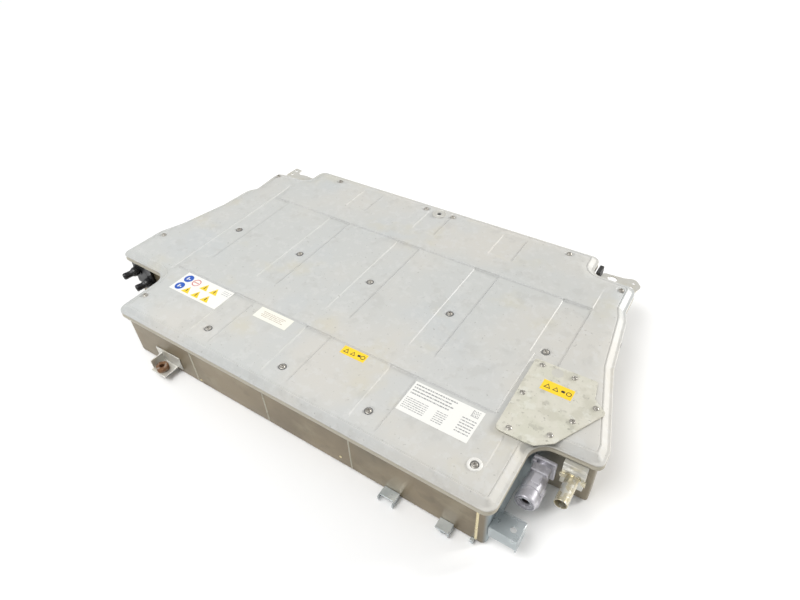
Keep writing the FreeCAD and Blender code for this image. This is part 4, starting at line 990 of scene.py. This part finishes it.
def flat_bar(x, y, width, height, z):
    """A flat rectangle with its lower left corner at a point."""
    points = np.array([(x, y, z), (x + width, y, z), (x + width, y + height, z), (x, y + height, z)], float)
    return points, np.array([[0, 1, 2, 3]])


def flat_polygon(x, y, radius, sides, z, turn=0.0):
    """A regular polygon, or a disc with many sides."""
    angles = turn + np.linspace(0, 2 * math.pi, sides, endpoint=False)
    points = np.stack([x + radius * np.cos(angles), y + radius * np.sin(angles), np.full(sides, z)], 1)
    return points, np.array([list(range(sides))])


def ring_flat(x, y, outer, inner, z):
    """A flat ring."""
    angles = np.linspace(0, 2 * math.pi, 40, endpoint=False)
    circles = [np.stack([x + radius * np.cos(angles), y + radius * np.sin(angles), np.full(40, z)], 1)
               for radius in (outer, inner)]
    return np.concatenate(circles), grid_faces(2, 40)


def label_plate(name, x0, x1, y0, y1, material, stands_for=()):
    """A thin film with square edges that lies on the lid; gives the height of its print."""
    z = lid_height_at((x0 + x1) / 2, (y0 + y1) / 2)
    piece(name, box_mesh((x0, y0, z), (x1, y1, z + FILM)), material, stands_for=stands_for,
          smooth=False)
    return z + FILM + 0.04


def printed(name, marks, ink):
    """Flat marks as one piece of print."""
    piece(name, merged(marks), ink, smooth=False)


def text_rows(random, x0, x1, y, height, z):
    """A row of small marks of uneven length that stand for print, with no letters in it."""
    marks, x = [], x0
    while x < x1 - 1.0:
        width = min(random.uniform(1.2, 7.5), x1 - x)
        marks.append(flat_bar(x, y, width, height, z))
        x += width + random.uniform(0.9, 1.8)
    return marks


def make_warning_label(random):
    """The wide label at the left: blue discs, yellow triangles, a red ring and grey rows."""
    z = label_plate("label_warning", -455, -280, -294, -221, "label_white", stands_for=["labels"])
    above = z + 0.05
    discs = (-241, -274)
    triangles = ((-402, -277), (-366, -277), (-330, -277), (-366, -245), (-330, -245))
    printed("label_warning_blue", [flat_polygon(-434, y, 14, 40, z) for y in discs], "ink_blue")
    marks = [flat_bar(-439, y - 6, 4, 11, above) for y in discs]
    marks += [flat_bar(-433, y - 3, 6, 3, above) for y in discs]
    printed("label_warning_marks", marks, "label_white")
    yellow = [flat_polygon(x, y - 2, 16, 3, z, math.pi / 2) for x, y in triangles]
    printed("label_warning_yellow", yellow, "ink_yellow")
    bolts = [flat_bar(x - 1.5, y - 6, 3, 11, above) for x, y in triangles]
    printed("label_warning_bolts", bolts, "ink_black")
    printed("label_warning_red", [ring_flat(-402, -243, 13, 10.5, z), flat_bar(-411, -244.2, 18, 2.4, z)],
            "ink_red")
    grey = [item for y in (-230, -236, -242) for item in text_rows(random, -310, -284, y, 1.5, z)]
    printed("label_warning_grey", grey, "ink_grey")


def make_small_label(random):
    """The small cream label: four rows."""
    z = label_plate("label_small", -179, -72, -259, -221, "label_cream")
    rows = []
    for index in range(4):
        rows += text_rows(random, -163 + 3 * (index % 2), -90 - 4 * (index % 3), -233 - 5.0 * index, 1.5, z)
    printed("label_small_marks", rows, "ink_brown")


def make_rating_label(random):
    """The large label at the right: rows in three columns and a square of dots."""
    z = label_plate("label_rating", 292, 463, -315, -228, "label_white")
    rows = []
    for index in range(4):
        rows += text_rows(random, 297, 400 - 8 * (index % 2), -237 - 8.5 * index, 3.2, z)
    for index in range(6):
        rows += text_rows(random, 297, 352, -276 - 5.5 * index, 1.8, z)
        rows += text_rows(random, 372, 398, -276 - 5.5 * index, 1.8, z)
        rows += text_rows(random, 425, 458, -262 - 7.5 * index, 2.6, z)
    printed("label_rating_marks", rows, "ink_grey")
    dots = [flat_bar(438 + 3.0 * column, -250 + 3.0 * row, 2.2, 2.2, z)
            for row in range(6) for column in range(6) if (row + column) % 2 == 0 or row * column == 0]
    printed("label_rating_pattern", dots, "ink_grey")


def make_sticker_print(place, x0, x1, middle, z):
    """The print of a yellow sticker: two triangles with yellow middles, a bar and a ring."""
    base = middle - 2
    dark = [flat_polygon(x0 + 13, base, 9, 3, z, math.pi / 2),
            flat_polygon(x0 + 32, base, 8, 3, z, math.pi / 2),
            flat_bar(x0 + 44, middle - 2.5, 8, 6, z), ring_flat(x1 - 9, middle, 6, 4.2, z)]
    light = [flat_polygon(x0 + 13, base, 5.5, 3, z + 0.04, math.pi / 2),
             flat_polygon(x0 + 32, base, 4.8, 3, z + 0.04, math.pi / 2)]
    printed("sticker_marks_" + place, dark, "ink_black")
    printed("sticker_lights_" + place, light, "ink_yellow")


def make_labels():
    """Generic labels: symbols and grey marks only, with no words, names or codes."""
    random = np.random.default_rng(7)
    make_warning_label(random)
    make_small_label(random)
    make_rating_label(random)
    z = label_plate("sticker_lid", 89, 157, -246, -221, "ink_yellow")
    make_sticker_print("lid", 89, 157, -233.5, z)
    film = box_mesh((531, -110, COVER_TOP), (601, -80, COVER_TOP + FILM))
    piece("sticker_cover", film, "ink_yellow", smooth=False)
    make_sticker_print("cover", 531, 601, -95.0, COVER_TOP + FILM + 0.05)


# ------------------------------------------------------------------ operators

class PACK_OT_materials(bpy.types.Operator):
    """Make every finish of the pack"""

    bl_idname = "pack.materials"
    bl_label = "Materials"

    def execute(self, context):
        make_materials()
        return {"FINISHED"}


class PACK_OT_nodes(bpy.types.Operator):
    """Give each CAD node its finish"""

    bl_idname = "pack.nodes"
    bl_label = "CAD Nodes"

    def execute(self, context):
        for name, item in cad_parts.items():
            finish = NODE_FINISH.get(name)
            for prefix, prefix_finish in NODE_PREFIX_FINISH.items():
                if name.startswith(prefix):
                    finish = prefix_finish
            item.data.materials.clear()
            item.data.materials.append(MATERIALS[finish])
        return {"FINISHED"}


class PACK_OT_lid(bpy.types.Operator):
    """Build the stamped lid"""

    bl_idname = "pack.lid"
    bl_label = "Lid"

    def execute(self, context):
        make_lid()
        return {"FINISHED"}


class PACK_OT_screws(bpy.types.Operator):
    """Build the screws, their seals, the washer and the boss"""

    bl_idname = "pack.screws"
    bl_label = "Screws"

    def execute(self, context):
        make_screws()
        return {"FINISHED"}


class PACK_OT_ports(bpy.types.Operator):
    """Build the high voltage connector and the coolant elbows"""

    bl_idname = "pack.ports"
    bl_label = "Ports"

    def execute(self, context):
        make_hv_connector()
        make_elbows()
        return {"FINISHED"}


class PACK_OT_tray(bpy.types.Operator):
    """Build the tray, its seams and studs, and the CAD parts with rounded edges"""

    bl_idname = "pack.tray"
    bl_label = "Tray and Brackets"

    def execute(self, context):
        make_tray()
        make_tray_details()
        for name, width, material, slot in SOFTENED:
            softened(name, width, material)
        return {"FINISHED"}


class PACK_OT_labels(bpy.types.Operator):
    """Build the generic labels"""

    bl_idname = "pack.labels"
    bl_label = "Labels"

    def execute(self, context):
        make_labels()
        return {"FINISHED"}


class PACK_OT_stage(bpy.types.Operator):
    """Build the floor, the lights and the camera"""

    bl_idname = "pack.stage"
    bl_label = "Stage"

    def execute(self, context):
        make_stage()
        return {"FINISHED"}


def area_light(name, place, target, size, power, colour=(1.0, 1.0, 1.0)):
    """A square soft light that faces a target."""
    light = bpy.data.lights.new(name, "AREA")
    light.energy = power
    light.size = size
    light.color = colour
    item = new_object(name, light)
    item.location = place
    item.rotation_euler = (Vector(target) - Vector(place)).to_track_quat("-Z", "Y").to_euler()
    return item


def make_stage():
    """A pale floor, soft light mostly from the back right, and the camera."""
    mesh = bpy.data.meshes.new("floor")
    mesh.from_pydata([(-9, -9, 0), (9, -9, 0), (9, 9, 0), (-9, 9, 0)], [], [(0, 1, 2, 3)])
    floor = new_object("floor", mesh)
    pale = bpy.data.materials.new("pale_floor")
    pale.use_nodes = True
    shader = pale.node_tree.nodes["Principled BSDF"]
    shader.inputs["Base Color"].default_value = (0.93, 0.93, 0.925, 1.0)
    shader.inputs["Roughness"].default_value = 0.9
    mesh.materials.append(pale)
    middle = (0, 0, 0.1)
    lights = [
        area_light("key", (4.5, 4.0, 1.9), middle, 1.5, 340, (1.0, 0.985, 0.96)),
        area_light("left", (-2.6, -0.8, 2.4), (-0.3, 0, 0.1), 2.2, 26, (0.96, 0.98, 1.0)),
        area_light("front", (-0.5, -1.7, 3.3), middle, 2.0, 80),
        area_light("far_floor", (-2.8, 4.4, 3.2), (-2.8, 4.4, 0), 4.5, 150),
    ]
    lights[-1].data.spread = math.radians(90)
    scene = bpy.context.scene
    scene.world = bpy.data.worlds.new("studio")
    scene.world.use_nodes = True
    background = scene.world.node_tree.nodes["Background"]
    background.inputs["Color"].default_value = (1.0, 1.0, 1.0, 1.0)
    background.inputs["Strength"].default_value = 0.50
    scene.view_settings.view_transform = "Standard"
    camera_data = bpy.data.cameras.new("camera")
    camera_data.lens = settings().lens
    camera_data.sensor_width = 36.0
    camera = new_object("camera", camera_data)
    # The camera's own X, Y and Z axes in the scene: to its right, up, and back towards the viewer.
    right = (0.83680, 0.54618, -0.03807)
    up = (-0.33854, 0.57083, 0.74803)
    back = (0.43029, -0.61306, 0.66257)
    turn = Matrix((right, up, back)).transposed().to_4x4()
    camera.matrix_world = Matrix.Translation((0.7613, -0.9452, 1.165)) @ turn
    scene.camera = camera


class PACK_PT_panel(bpy.types.Panel):
    """Lists the pieces and sizes of the pack"""

    bl_idname = "PACK_PT_panel"
    bl_label = "Battery Pack"
    bl_space_type = "VIEW_3D"
    bl_region_type = "UI"
    bl_category = "Battery Pack"

    def draw(self, context):
        look = context.scene.battery_pack
        for name in PackSettings.__annotations__:
            self.layout.prop(look, name)
        for operator in OPERATORS:
            self.layout.operator(operator.bl_idname)


OPERATORS = [PACK_OT_materials, PACK_OT_nodes, PACK_OT_lid, PACK_OT_screws, PACK_OT_ports, PACK_OT_tray,
             PACK_OT_labels, PACK_OT_stage]
CLASSES = [PackSettings] + OPERATORS + [PACK_PT_panel]


def register():
    """Add the settings, operators and panel to Blender."""
    for item in CLASSES:
        bpy.utils.register_class(item)
    bpy.types.Scene.battery_pack = bpy.props.PointerProperty(type=PackSettings)


def unregister():
    """Take them away again."""
    del bpy.types.Scene.battery_pack
    for item in reversed(CLASSES):
        bpy.utils.unregister_class(item)


def main():
    """Register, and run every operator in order."""
    register()
    bpy.ops.pack.materials()
    bpy.ops.pack.nodes()
    bpy.ops.pack.lid()
    bpy.ops.pack.screws()
    bpy.ops.pack.ports()
    bpy.ops.pack.tray()
    bpy.ops.pack.labels()
    bpy.ops.pack.stage()


if __name__ == "__main__":
    main()
